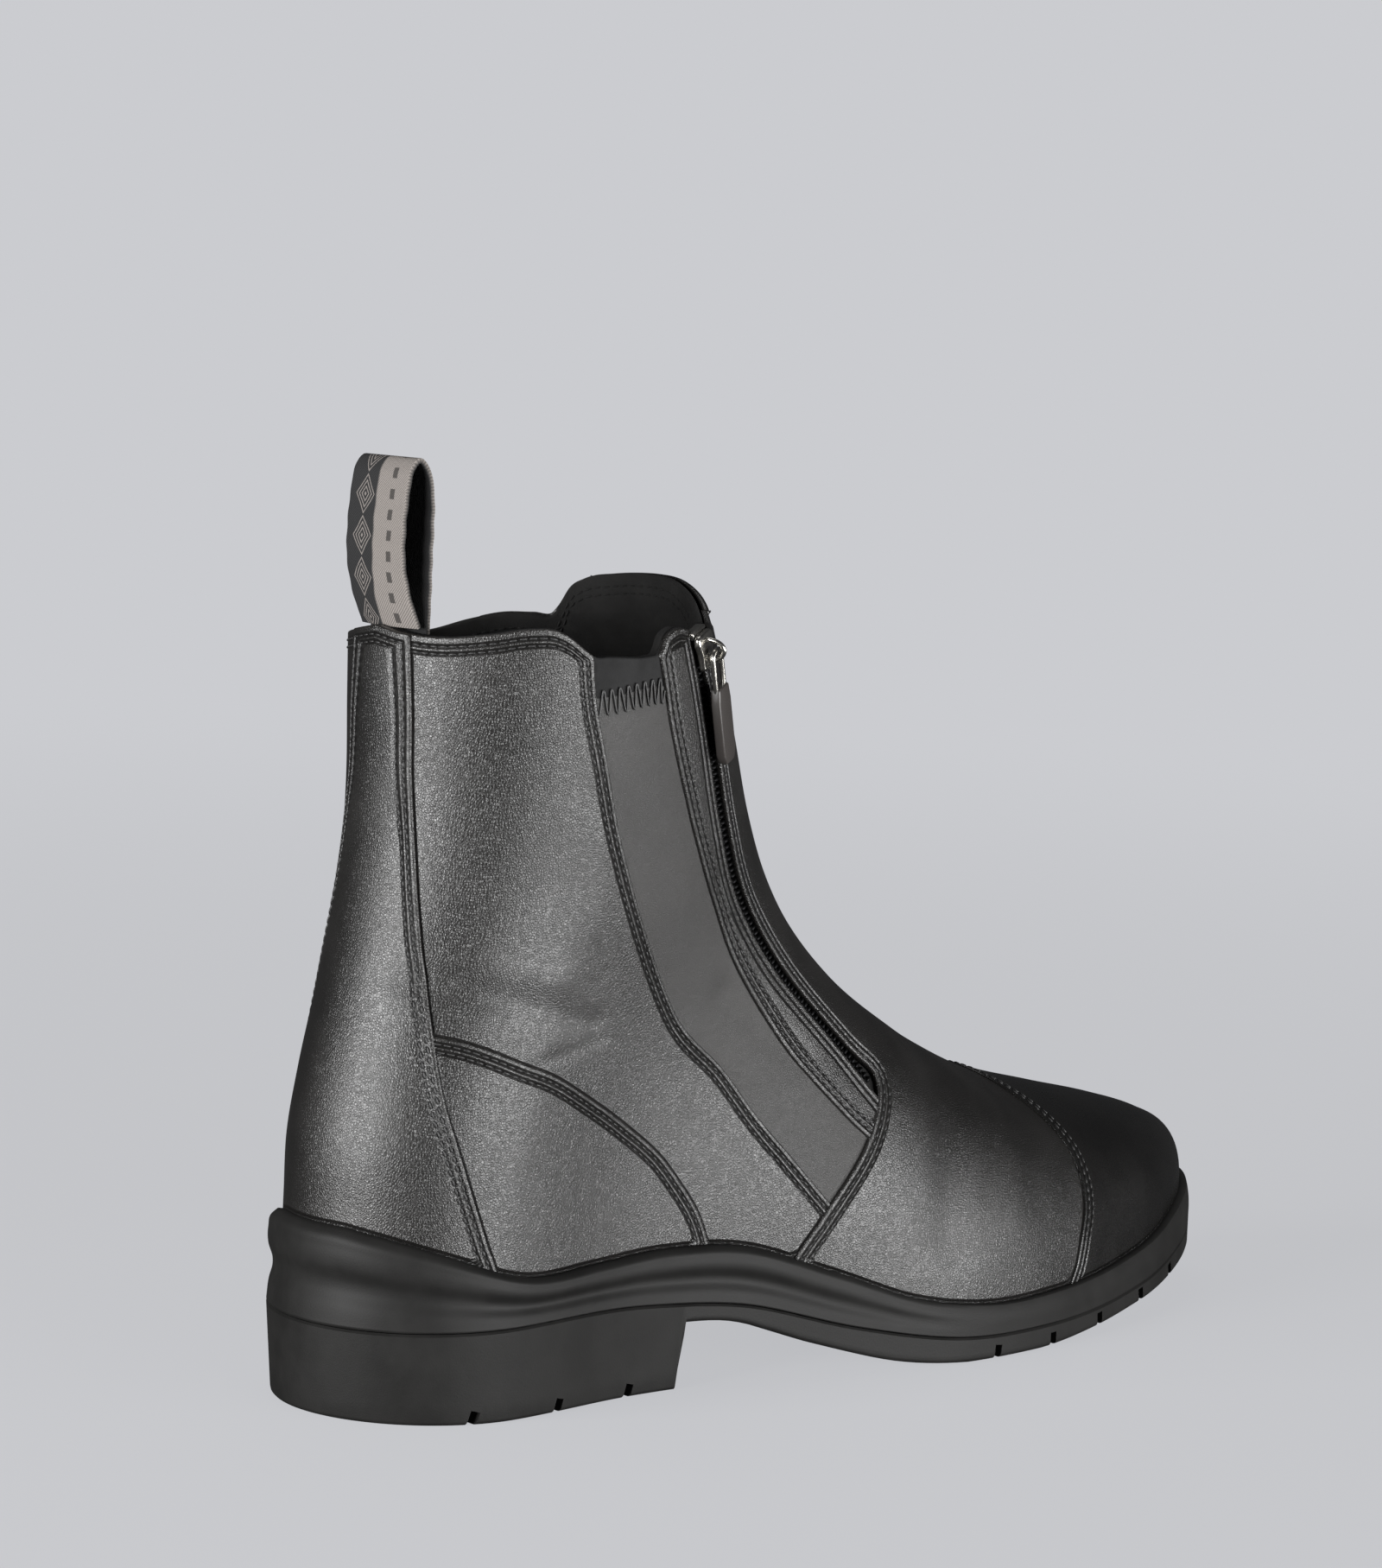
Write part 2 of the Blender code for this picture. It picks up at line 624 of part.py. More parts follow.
def make_form(name, face, material):
    """A larger form: a closed sleeve round the whole last, from just over the shell to a panel's face."""
    outer, _ = upper_rows(face)
    inner, _ = upper_rows(GAP - PANEL_BED)
    count = 2 * HALF_COLUMNS
    total = len(outer) * count
    faces = grid_faces(len(outer), count, closed=True)
    faces += grid_faces(len(inner), count, closed=True, first=total)
    for first in (0, total - count):
        for c in range(count):
            n = (c + 1) % count
            faces.append((first + c, first + n, total + first + n, total + first + c))
    return add_object(name, np.concatenate(outer + inner), faces, material)


def side_curve(table, count):
    """A seam of the side view as points, with its ends carried on straight."""
    rows = [(k, x, z) for k, (x, z) in enumerate(table)]
    at = np.linspace(0, len(rows) - 1, count)
    x = HEEL_BACK + column(rows, at, 1) * FOOT_LENGTH
    z = column(rows, at, 2) * COLLAR_HEIGHT
    return carried_on(np.stack((x, z), -1))


def carried_on(line):
    """A line of the side view, made longer at both ends so that it runs out of the upper."""
    first = line[0] - line[1]
    last = line[-1] - line[-2]
    first = first / np.linalg.norm(first) * PAST_SEAM
    last = last / np.linalg.norm(last) * PAST_SEAM
    return np.concatenate(([line[0] + first], line, [line[-1] + last]))


def zip_curve(ways, distance):
    """A line beside the zip's middle, in the side view."""
    return surface(ways, sideways(ways, zip_line(ways), distance))[:, [0, 2]]


def moved(line, shift):
    """The line moved to its left, which is backwards for a line that runs up."""
    run = np.gradient(line, axis=0)
    run /= np.linalg.norm(run, axis=1, keepdims=True)
    return line + np.stack((-run[:, 1], run[:, 0]), -1) * shift


def behind(line):
    """Outline of everything behind a line that runs up."""
    back = HEEL_BACK - PAST_BOOT
    low, high = (line[0][0], -PAST_BOOT), (line[-1][0], above())
    return joined((back, -PAST_BOOT), low, line, high, (back, above()))


def before(line):
    """Outline of everything in front of a line that runs up."""
    front = HEEL_BACK + FOOT_LENGTH + PAST_BOOT
    low, high = (line[0][0], -PAST_BOOT), (line[-1][0], above())
    return joined((front, -PAST_BOOT), low, line, high, (front, above()))


def under(line):
    """Outline of everything under a line that runs from behind to the front."""
    return joined(line, (line[-1][0], -PAST_BOOT), (line[0][0], -PAST_BOOT))


def over_rim(count=36):
    """Outline of everything just over the sole's rim."""
    x = np.linspace(HEEL_BACK - PAST_BOOT, HEEL_BACK + FOOT_LENGTH + PAST_BOOT, count)
    rim = np.stack((x, rim_height(x) + RIM_CLEARANCE), -1)
    return joined(rim, (x[-1], above()), (x[0], above()))


def above():
    return COLLAR_HEIGHT + FRONT_RISE + PAST_BOOT


def joined(*lines):
    """One outline from points and lines laid end to end."""
    return np.concatenate([np.reshape(line, (-1, 2)) for line in lines])


def prism(name, outline, sides):
    """A cutter: an outline of the side view, carried across the foot between two places."""
    count = len(outline)
    points = [(x, y, z) for y in sides for x, z in outline]
    faces = [tuple(range(count)), tuple(range(count, 2 * count))]
    faces += [(k, (k + 1) % count, count + (k + 1) % count, count + k) for k in range(count)]
    item = add_object(name, points, faces, None)
    item.hide_render = True
    item.display_type = "WIRE"
    boot.objects.unlink(item)
    cutters.objects.link(item)
    return item


def make_panel(name, face, material, sides, keep, remove=()):
    """A leather panel: a larger form cut to outlines of the side view, less the outlines of others."""
    item = make_form(name, face, material)
    for operation, outlines in (("INTERSECT", keep), ("DIFFERENCE", remove)):
        for number, outline in enumerate(outlines):
            cut = item.modifiers.new(operation.lower(), "BOOLEAN")
            cut.operation = operation
            cut.solver = "EXACT"
            cut.object = prism(f"{name}_{operation.lower()}_{number}", outline, sides)
    return item


def zip_edges():
    """The lines along both sides of the zip's opening."""
    ways = np.linspace(ZIP_LOWER_END, PAST_COLLAR, 16)
    half = ZIP_SLOT / 2 + ZIP_MARGIN
    return zip_curve(ways, -half), zip_curve(ways, half)


def band_edge():
    """The seam between the gore and the zip's band."""
    ways = np.linspace(BAND_EDGE[0][0], PAST_COLLAR, 18)
    return carried_on(zip_curve(ways, -column(BAND_EDGE, ways, 1) * BAND_WIDTH))


def vamp_line():
    """The vamp's edge on the outer side, and on along the far side of the zip."""
    edge = side_curve(VAMP_EDGE, 12)[:-1]
    _, far = zip_edges()
    return carried_on(np.concatenate((edge[1:], far[far[:, 1] > edge[-1, 1]])))


def make_panels(leather, cap_leather, stretch):
    """Each panel lies between the seams that bound it, which keep half a seam's width from it."""
    half = SEAM / 2
    outer_side = (-BALL_WIDTH, -OVER_MIDDLE)
    inner_side = (-2 * OVER_MIDDLE, BALL_WIDTH)
    whole = (-BALL_WIDTH, BALL_WIDTH)
    cap = side_curve(CAP_SEAM, 14)
    quarter = side_curve(QUARTER_EDGE, 16)
    strap = side_curve(STRAP_EDGE, 12)
    inner_vamp = side_curve(VAMP_INNER, 16)
    under_vamp = before(moved(side_curve(VAMP_EDGE, 12), half))
    band = band_edge()
    near, _ = zip_edges()
    rim = over_rim()

    make_panel("toe_cap", CAP_FACE, cap_leather, whole, (before(moved(cap, -half)), rim))
    make_vamp(leather, (behind(moved(cap, half)), rim), whole,
              (behind(moved(vamp_line(), -half)), outer_side), (behind(moved(inner_vamp, -half)), inner_side))
    make_panel("zip_band", BAND_FACE, leather, outer_side,
               (before(moved(band, -half)), behind(carried_on(near))), (under_vamp,))
    make_panel("gore", GORE_FACE, stretch, outer_side,
               (before(moved(quarter, -half)), behind(moved(band, half))), (under_vamp,))
    make_heel_panels("lateral", leather, outer_side, moved(quarter, half), (under_vamp,))
    make_heel_panels("medial", leather, inner_side, moved(inner_vamp, half), ())
    make_panel("back_strap", STRAP_FACE, leather, whole, (behind(moved(strap, half)), rim))


def make_vamp(leather, keep, whole, *removed):
    """The vamp, cut to a different line on each side of the foot."""
    item = make_panel("vamp", VAMP_FACE, leather, whole, keep)
    for number, (outline, sides) in enumerate(removed):
        cut = item.modifiers.new("difference", "BOOLEAN")
        cut.operation = "DIFFERENCE"
        cut.solver = "EXACT"
        cut.object = prism(f"vamp_difference_{number}", outline, sides)


def make_heel_panels(side, leather, sides, front, remove):
    """The quarter and the counter of one side."""
    half = SEAM / 2
    strap = before(moved(side_curve(STRAP_EDGE, 12), -half))
    counter = side_curve(COUNTER_SEAM, 16)
    rim = over_rim()
    make_panel(f"quarter_{side}", QUARTER_FACE, leather, sides, (behind(front), strap, rim),
               (under(moved(counter, half)), *remove))
    make_panel(f"counter_{side}", COUNTER_FACE, leather, sides, (under(moved(counter, -half)), strap, rim))


# Hardware


def make_zip_chain(material):
    """Tape behind the slot, with the closed chain standing up into it."""
    tape = -PANEL_BED - WALL - TAPE_CLEARANCE
    section = (
        (-TAPE_WIDTH / 2, tape - TAPE_THICKNESS), (-TAPE_WIDTH / 2, tape), (-CHAIN_WIDTH / 2, tape),
        (-CHAIN_WIDTH / 2, CHAIN_FACE), (CHAIN_WIDTH / 2, CHAIN_FACE), (CHAIN_WIDTH / 2, tape),
        (TAPE_WIDTH / 2, tape), (TAPE_WIDTH / 2, tape - TAPE_THICKNESS),
    )
    ways = np.linspace(ZIP_LOWER_END + GAP / FRONT_SPAN * 2, ZIP_UPPER_END, 18)
    middle = zip_line(ways)
    rows = np.stack([surface(ways, sideways(ways, middle, side), lift) for side, lift in section], axis=1)
    count = len(section)
    faces = grid_faces(len(ways), count, closed=True)
    for first in (0, (len(ways) - 1) * count):
        faces += [tuple(first + k for k in (2, 3, 4, 5)), tuple(first + k for k in (0, 1, 2)),
                  tuple(first + k for k in (5, 6, 7)), tuple(first + k for k in (0, 2, 5, 7))]
    add_object("zip_chain", rows, faces, material)


def slider_frame():
    """Place of the slider on the last: across the zip, up the zip and outwards."""
    way = SLIDER_WAY
    turn = float(zip_line(way))
    place = Vector(surface(way, turn))
    up = (Vector(surface(way + 0.01, turn)) - place).normalized()
    across = (Vector(surface(way, turn + 0.004)) - Vector(surface(way, turn - 0.004))).normalized()
    out = across.cross(up).normalized()
    across = up.cross(out).normalized()
    frame = Matrix((across, up, out)).transposed().to_4x4()
    frame.translation = place
    return frame


def beveled_box(name, size, frame, bevel, material):
    """A box with rounded edges, its size along the frame's axes and its middle at the frame's origin."""
    bpy.ops.mesh.primitive_cube_add(size=1.0)
    item = bpy.context.object
    item.name = name
    item.data.name = name
    item.data.transform(Matrix.Diagonal((*size, 1.0)))
    item.matrix_world = frame
    item.data.materials.append(material)
    rounded = item.modifiers.new("round", "BEVEL")
    rounded.width = bevel
    rounded.segments = 2
    for home in list(item.users_collection):
        home.objects.unlink(item)
    boot.objects.link(item)
    return item


def wire_solid(name, points, radius, frame, closed, home, material=None):
    """A round wire along points in a frame, as one closed mesh."""
    curve = bpy.data.curves.new(name, "CURVE")
    curve.dimensions = "3D"
    curve.bevel_depth = radius
    curve.bevel_resolution = 1
    curve.use_fill_caps = not closed
    spline = curve.splines.new("POLY")
    spline.points.add(len(points) - 1)
    for point, place in zip(spline.points, points):
        point.co = (*place, 1.0)
    spline.use_cyclic_u = closed
    guide = bpy.data.objects.new(name + "_guide", curve)
    home.objects.link(guide)
    guide.matrix_world = frame
    bpy.context.view_layer.update()
    evaluated = guide.evaluated_get(bpy.context.evaluated_depsgraph_get())
    mesh = bpy.data.meshes.new_from_object(evaluated)
    shape = bmesh.new()
    shape.from_mesh(mesh)
    bmesh.ops.remove_doubles(shape, verts=shape.verts, dist=1e-6)
    bmesh.ops.recalc_face_normals(shape, faces=shape.faces)
    shape.to_mesh(mesh)
    shape.free()
    item = bpy.data.objects.new(name, mesh)
    item.matrix_world = frame
    home.objects.link(item)
    mesh.materials.clear()
    if material:
        mesh.materials.append(material)
    bpy.data.objects.remove(guide)
    return item


def join_solid(item, other):
    joint = item.modifiers.new("join", "BOOLEAN")
    joint.operation = "UNION"
    joint.solver = "EXACT"
    joint.object = other
    other.hide_render = True
    other.display_type = "WIRE"


def make_slider(metal):
    """The slider's top plate with the bail that carries the pull tab."""
    frame = slider_frame()
    low = VAMP_FACE + SLIDER_CLEARANCE
    plate_frame = frame @ Matrix.Translation((0, 0, low + SLIDER_THICKNESS / 2))
    size = (SLIDER_WIDTH, SLIDER_LENGTH, SLIDER_THICKNESS)
    plate = beveled_box("zip_slider", size, plate_frame, SLIDER_ROUND, metal)
    neck_height = low - CHAIN_FACE - GAP
    neck = cutter_box("slider_neck", (NECK_WIDTH, NECK_LENGTH, neck_height + SINK), (0, 0, 0), 0.0)
    neck.matrix_world = frame @ Matrix.Translation((0, 0, low - (neck_height - SINK) / 2)) @ neck.matrix_world
    foot = low + SLIDER_THICKNESS - SINK
    half = BAIL_LENGTH / 2
    angles = np.linspace(0, math.pi, 13)
    arch = [(0, -half * math.cos(a), foot + BAIL_HEIGHT * math.sin(a)) for a in angles]
    bail = wire_solid("slider_bail", arch, BAIL_WIRE / 2, frame, False, cutters)
    join_solid(plate, neck)
    join_solid(plate, bail)


def link_loop():
    """The link's middle line: a long ring with round corners, its bar on the joint's axis."""
    half = LINK_WIDTH / 2
    corner = half * LINK_CORNER
    side, low = half - corner, corner - LINK_LENGTH
    centres = ((side, -corner, 0), (-side, -corner, 90), (-side, low, 180), (side, low, 270))
    loop = []
    for centre_x, centre_y, start in centres:
        for a in np.radians(np.linspace(start, start + 90, 4)):
            loop.append((centre_x + corner * math.cos(a), centre_y + corner * math.sin(a), 0))
    return loop


def make_pull_tab(black):
    """Link and tab in one piece; its origin is on the bar that hangs in the bail."""
    frame = slider_frame()
    pivot = VAMP_FACE + SLIDER_CLEARANCE + SLIDER_THICKNESS + BAR_HEIGHT
    rest = frame @ Matrix.Translation((0, 0, pivot)) @ Matrix.Rotation(math.radians(TAB_REST), 4, "X")
    tab_frame = rest @ Matrix.Translation((0, LINK_IN_TAB - LINK_LENGTH - TAB_LENGTH / 2, 0))
    tab = beveled_box("pull_tab", (TAB_WIDTH, TAB_LENGTH, TAB_THICKNESS), tab_frame, TAB_ROUND, black)
    link = wire_solid("pull_link", link_loop(), LINK_WIRE / 2, rest, True, cutters)
    join_solid(tab, link)
    shift = tab_frame.inverted() @ rest
    tab.data.transform(shift.inverted())
    tab.matrix_world = rest


# The loop's side view. Columns: place from the back seam inwards / LOOP_GAP,
# height over the collar / LOOP_HEIGHT
LOOP = (
    (0.43, 0.008), (0.16, 0.12), (-0.10, 0.32), (-0.16, 0.55), (-0.06, 0.80), (0.10, 0.94), (0.45, 1.00),
    (0.80, 0.955), (1.02, 0.84), (1.09, 0.62), (1.05, 0.38), (0.94, 0.18), (0.86, 0.04), (0.84, -0.12),
)


def make_pull_loop(webbing):
    """Webbing loop: one leg stands on the wall at the back, the other goes down inside the shaft."""
    rows = LOOP + ((LOOP[-1][0], -LOOP_TAIL / LOOP_HEIGHT),)
    way = [0.0]
    for (a, b), (c, d) in zip(rows, rows[1:]):
        way.append(way[-1] + math.hypot((c - a) * LOOP_GAP, (d - b) * LOOP_HEIGHT))
    table = [(w, a, b) for w, (a, b) in zip(way, rows)]
    at = np.linspace(0.0, way[-1], 26)
    inward = column(table, at, 1) * LOOP_GAP
    height = column(table, at, 2) * LOOP_HEIGHT
    seat = back_line(COLLAR_HEIGHT)
    base = COLLAR_HEIGHT + float(top_height(1.0))
    radius = (COLLAR_WIDTH / 2) ** 2 / (column(LEG, 1.0, 2) * COLLAR_LENGTH)
    sheet = []
    for y in np.linspace(-LOOP_WIDTH / 2, LOOP_WIDTH / 2, 4):
        curl = y * y / (2 * radius) * (1 - ease(height / (LOOP_HEIGHT * 0.5)))
        sheet.append(np.stack((seat + inward + curl, np.full_like(at, y), base + height), -1))
    item = add_object("pull_loop", np.concatenate(sheet), grid_faces(4, len(at)), webbing)
    strip = item.modifiers.new("webbing", "SOLIDIFY")
    strip.thickness = WEBBING
    strip.offset = 0
    strip.use_even_offset = False


for old in list(bpy.data.objects):
    bpy.data.objects.remove(old, do_unlink=True)
boot = bpy.data.collections.new("paddock_boot")
bpy.context.scene.collection.children.link(boot)
cutters = bpy.data.collections.new("cutters")
bpy.context.scene.collection.children.link(cutters)

rubber = plain_material("sole_rubber", (0.030, 0.029, 0.028), 0.55)
footbed = plain_material("footbed", (0.020, 0.020, 0.021), 0.9)
leather = plain_material("black_leather", (0.018, 0.017, 0.017), 0.42)
cap_leather = plain_material("cap_leather", (0.012, 0.012, 0.012), 0.34)
stretch = plain_material("stretch_leather", (0.016, 0.016, 0.017), 0.5)
lining = plain_material("lining", (0.012, 0.012, 0.013), 0.85)
webbing = plain_material("webbing", (0.120, 0.110, 0.105), 0.85)
chrome = plain_material("bright_metal", (0.62, 0.61, 0.58), 0.22, 1.0)
tab_black = plain_material("tab_black", (0.020, 0.018, 0.018), 0.45)
tape_black = plain_material("tape_black", (0.010, 0.010, 0.011), 0.7)

make_outsole(rubber)
make_midsole(rubber)
make_insole(footbed)
make_upper(lining)
make_panels(leather, cap_leather, stretch)
make_zip_chain(tape_black)
make_slider(chrome)
make_pull_tab(tab_black)
make_pull_loop(webbing)
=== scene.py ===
"""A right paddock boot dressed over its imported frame: leather, lining, sole, zip, pull loop and stage.

+X points to the toe, -Y to the outer side and +Z up. Lengths are in metres.
"""

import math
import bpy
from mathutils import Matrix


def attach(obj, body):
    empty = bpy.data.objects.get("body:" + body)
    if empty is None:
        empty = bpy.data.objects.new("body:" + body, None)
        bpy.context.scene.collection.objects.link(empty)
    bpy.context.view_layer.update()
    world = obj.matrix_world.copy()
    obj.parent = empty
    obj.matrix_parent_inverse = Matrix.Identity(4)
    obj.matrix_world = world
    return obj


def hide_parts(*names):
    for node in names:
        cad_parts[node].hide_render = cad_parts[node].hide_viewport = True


bl_info = {
    "name": "Paddock boot",
    "version": (1, 0, 0),
    "blender": (4, 5, 0),
    "location": "View3D > Sidebar > Boot",
    "description": "Makes the leather, lining, sole, zip, pull loop and stage of a paddock boot",
    "category": "Object",
}

import bmesh
import bpy
import numpy as np
from bpy.props import FloatProperty, FloatVectorProperty, PointerProperty
from mathutils import Matrix, Vector
from mathutils.kdtree import KDTree

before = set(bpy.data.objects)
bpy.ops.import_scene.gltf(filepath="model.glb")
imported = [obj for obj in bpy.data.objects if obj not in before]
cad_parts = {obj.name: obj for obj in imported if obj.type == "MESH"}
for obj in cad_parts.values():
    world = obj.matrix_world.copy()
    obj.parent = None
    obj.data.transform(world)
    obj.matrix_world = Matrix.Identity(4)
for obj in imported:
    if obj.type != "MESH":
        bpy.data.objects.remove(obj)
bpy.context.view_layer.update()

# The last, as the frame's solids have it
HEEL_BACK = -0.0314
FOOT_LENGTH = 0.2750
BALL_WIDTH = 0.0900
COLLAR_HEIGHT = 0.1725
COLLAR_LENGTH = 0.0920
COLLAR_WIDTH = 0.0780
TOE_ROUNDING = 0.17
INSTEP_CENTRE = (0.56, 0.84)

# The sole
SOLE_LIP = 0.0037
HEEL_HEIGHT = 0.0205
HEEL_LENGTH = 0.0794
HEEL_TAPER = 0.0014
BREAST_SLOPE = 0.0015
ARCH_HEIGHT = 0.0158
CUP_FLOOR = 0.0030
CUP_HEEL_HEIGHT = 0.0425
CUP_LIP = 0.35
NOTCH_WIDTH = 0.0022
NOTCH_DEPTH = 0.0032
EDGE_ROUND = 0.0010
LINE_GROOVE = 0.0003
# The rim's rounded inner edge: where it starts, how far it goes in, and how far down
RIM_EDGE = 0.0012
RIM_ROUND = 0.0006
RIM_DROP = 0.0015

# The upper: how far each layer's face stands over the last
GORE_FACE = -0.0006
QUARTER_FACE = -0.0002
BAND_FACE = 0.0001
COUNTER_FACE = 0.0003
VAMP_FACE = 0.0004
STRAP_FACE = 0.0007
CAP_FACE = 0.0009
LINING_FACE = -0.0015
LINING_WALL = 0.0020
UNDERLAP = 0.0035
RIM_SINK = 0.0030
FRONT_RISE = 0.0094
FIRST_ROW = 0.0016
SECOND_ROW = 0.0033
# The gore's elastic: its lower edge under the collar by the quarter and by the band,
# the turns between which it rises, and the wide stitch on it
ELASTIC_LOW = 0.0142
ELASTIC_HIGH = 0.0118
ELASTIC_TURNS = (-0.60, -0.46)
ZIGZAG_SWING = 0.0028
ZIGZAG_PITCH = 0.0022
ZIGZAG_LIFT = 0.0003
ELASTIC_LAP = 0.0010
ELASTIC_SINK = 0.0001

# Thickness of the leathers and of the elastic, and the radius of a panel's edge
STRETCH_LEATHER = 0.0009
ELASTIC = 0.0008
LEATHER = 0.0012
BAND_LEATHER = 0.0014
VAMP_LEATHER = 0.0015
CAP_LEATHER = 0.0016
PANEL_EDGE = 0.0005

# Rows of stitches: on the zip's band, beside the zip, and inside the collar
BAND_ROWS = (FIRST_ROW * 0.9, SECOND_ROW * 0.9)
BAND_ROW_TOP = SECOND_ROW * 0.6
NEAR_ROW = 0.0016
FAR_ROW = 0.0018
FAR_ROW_START = 0.40
RAISED_ROWS = (0.0024, 0.0042)
COLLAR_ROW = 0.0030
SLOT_CLEAR = 0.0020
# How far a row stays from a seam that covers it, and from one that it may nearly touch
SEAM_CLEAR = 0.0010
SEAM_TOUCH = 0.0005
VAMP_ROW_END = 0.45
INNER_ROW_START = 0.10

# The zip, its slider and its tab
ZIP_SLOT = 0.0064
SLOT_SEEN = 0.0042
ZIP_LOWER_END = 0.395
ZIP_UPPER_END = 0.985
BAND_WIDTH = 0.0190
PAST_COLLAR = 1.06
TAPE_WIDTH = 0.0180
TAPE_FACE = -0.0026
TAPE_THICKNESS = 0.0006
TAPE_BACK = 0.0045
SLOT_START = 0.03
# Columns: place across the tape, height over its face; the ridge under the teeth, from its foot to its middle
TAPE_RIDGE = ((0.0028, 0.0), (0.0022, 0.0010), (0.0, 0.0012))
RIDGE_REACH = 0.0030
# Teeth: place and width / SLOT_SEEN, length / tooth pitch, height, and how deep their middle lies
TOOTH_PLACE = 0.24
TOOTH_WIDTH = 0.50
TOOTH_LENGTH = 0.72
TOOTH_HEIGHT = 0.0016
TOOTH_SINK = 0.0012
SLIDER_WAY = 0.982
SLIDER_CLEARANCE = 0.0006
SLIDER_LENGTH = 0.0085
SLIDER_WIDTH = 0.0076
SLIDER_THICKNESS = 0.0016
BAR_HEIGHT = 0.0019
TAB_REST = 4.0
LINK_LENGTH = 0.0110
LINK_WIDTH = 0.0046
LINK_WIRE = 0.0012
LINK_IN_TAB = 0.0025
TAB_LENGTH = 0.0180
TAB_WIDTH = 0.0066
TAB_THICKNESS = 0.0022
BAIL_WIRE = 0.0011
BAIL_LENGTH = 0.0052
BAIL_HEIGHT = 0.0042
BAIL_SINK = 0.0004
NECK_WIDTH = 0.0024
NECK_LENGTH = 0.0056
NECK_DEPTH = 0.0012
NECK_LAP = 0.0003
CROWN_WIDTH = 0.92
CROWN_REACH = 0.0008
CROWN_LENGTH = 0.0009
CROWN_LAP = 0.0002
PLATE_ROUND = 0.0005
NECK_ROUND = 0.0002
TAB_ROUND = 0.0004
LINK_CORNER = 0.8
# Half of the slider's top plate, from its foot to its shoulders.
# Columns: place across / half the width, place up the zip / half the length
PLATE = (
    (0.60, -1.00), (0.78, -0.86), (0.74, -0.30), (0.82, 0.10), (1.00, 0.50), (0.94, 0.86), (0.70, 1.00),
)
# The tab's outline: half width at its upper and lower end / half its width, and the length of its tapers
TAB_SHOULDER = 0.82
TAB_FOOT = 0.62
TAB_TAPER = (0.0035, 0.0024)

# The pull loop
LOOP_HEIGHT = 0.0367
LOOP_WIDTH = 0.0200
LOOP_GAP = 0.0056
LOOP_TAIL = 0.0140
WEBBING = 0.0012
WEBBING_ROUND = 0.35
# Waves of the loop's edge. Columns: wave length / 2 pi, phase, swing
LOOP_SWAY = ((0.0125, 0.6, 0.00045), (0.0009, 0.0, 0.00012))
LOOP_SWAY_START = 0.006
LOZENGE = 0.0090
DASH = 0.0045

# Where one part of the last blends into the next. Columns: where the blend starts, where it ends
HEEL_FLOOR = (0.20, 0.40)
GROOVE_FADE = (0.34, 0.60)
INSTEP_FAN = (15.0, 75.0)
LEG_BLEND = (0.25, 0.65)
MIDDLE_BLEND = (0.00, 0.50)
COLLAR_BLEND = (0.86, 1.00)
# How far up the feather line's curve is felt: at the front line, and elsewhere
FLOOR_FADE = (0.09, 0.50)
FLOOR_FADE_TURN = 0.25

# Stage
# Softboxes. Columns: name, place, width and height, power in watts
SOFTBOXES = (
    ("left_softbox", (-1.50, 0.05, 0.25), (1.00, 0.60), 56.0),
    ("main_softbox", (0.50, -1.64, 0.06), (2.10, 0.62), 76.0),
    ("top_softbox", (0.10, 0.35, 1.60), (0.90, 0.60), 3.0),
)
LIGHT_TARGET = (0.09, 0.0, 0.08)
FLOOR_REACH = 12.0
FLOOR_NEAR = (0.11, 0.11, 0.112)
FLOOR_GLOW = 0.84
FLOOR_BLEND = (0.25, 1.6)
# The camera stands where the photograph's did
CAMERA_PLACE = (-0.6330, -0.8162, 0.2532)
CAMERA_YAW = -40.822
CAMERA_PITCH = 6.308
CAMERA_ROLL = 2.241
IMAGE_WIDTH = 1600
FOCAL_PIXELS = 5418
SENSOR_WIDTH = 36.0
BACKDROP = (0.597, 0.604, 0.631)
ROOM_LIGHT = 0.07

# Columns: place along the foot / FOOT_LENGTH, lateral half width / BALL_WIDTH,
# medial half width / BALL_WIDTH, middle line / BALL_WIDTH
PLAN = (
    (0.00, 0.350, 0.345, 0.000),
    (0.12, 0.348, 0.348, 0.000),
    (0.25, 0.312, 0.330, 0.000),
    (0.36, 0.338, 0.305, 0.000),
    (0.46, 0.422, 0.318, 0.000),
    (0.56, 0.488, 0.385, 0.010),
    (0.66, 0.488, 0.445, 0.024),
    (0.74, 0.452, 0.460, 0.040),
    (0.82, 0.400, 0.425, 0.060),
    (0.90, 0.345, 0.360, 0.080),
    (1.00, 0.285, 0.280, 0.100),
)
# Columns: place along the foot / FOOT_LENGTH, height of the sole's rim / CUP_HEEL_HEIGHT
RIM = (
    (0.00, 1.000), (0.05, 0.890), (0.12, 0.745), (0.20, 0.745), (0.28, 0.770), (0.36, 0.735),
    (0.44, 0.565), (0.52, 0.380), (0.60, 0.300), (0.68, 0.300), (0.76, 0.330), (0.84, 0.410),
    (0.92, 0.540), (1.00, 0.650),
)
# Columns: place along the foot / FOOT_LENGTH, top of the outsole / HEEL_HEIGHT
LINE = (
    (0.00, 1.000), (0.26, 1.000), (0.36, 0.870), (0.46, 0.530), (0.56, 0.300), (0.66, 0.265),
    (0.74, 0.295), (0.82, 0.410), (0.90, 0.620), (1.00, 0.860),
)
# Columns: place along the foot / FOOT_LENGTH, lift of the tread in front of the heel / ARCH_HEIGHT
ARCH = (
    (0.28, 1.00), (0.34, 0.93), (0.42, 0.50), (0.50, 0.13), (0.57, 0.00), (0.66, 0.00), (0.74, 0.09),
    (0.82, 0.25), (0.90, 0.48), (1.00, 0.76),
)
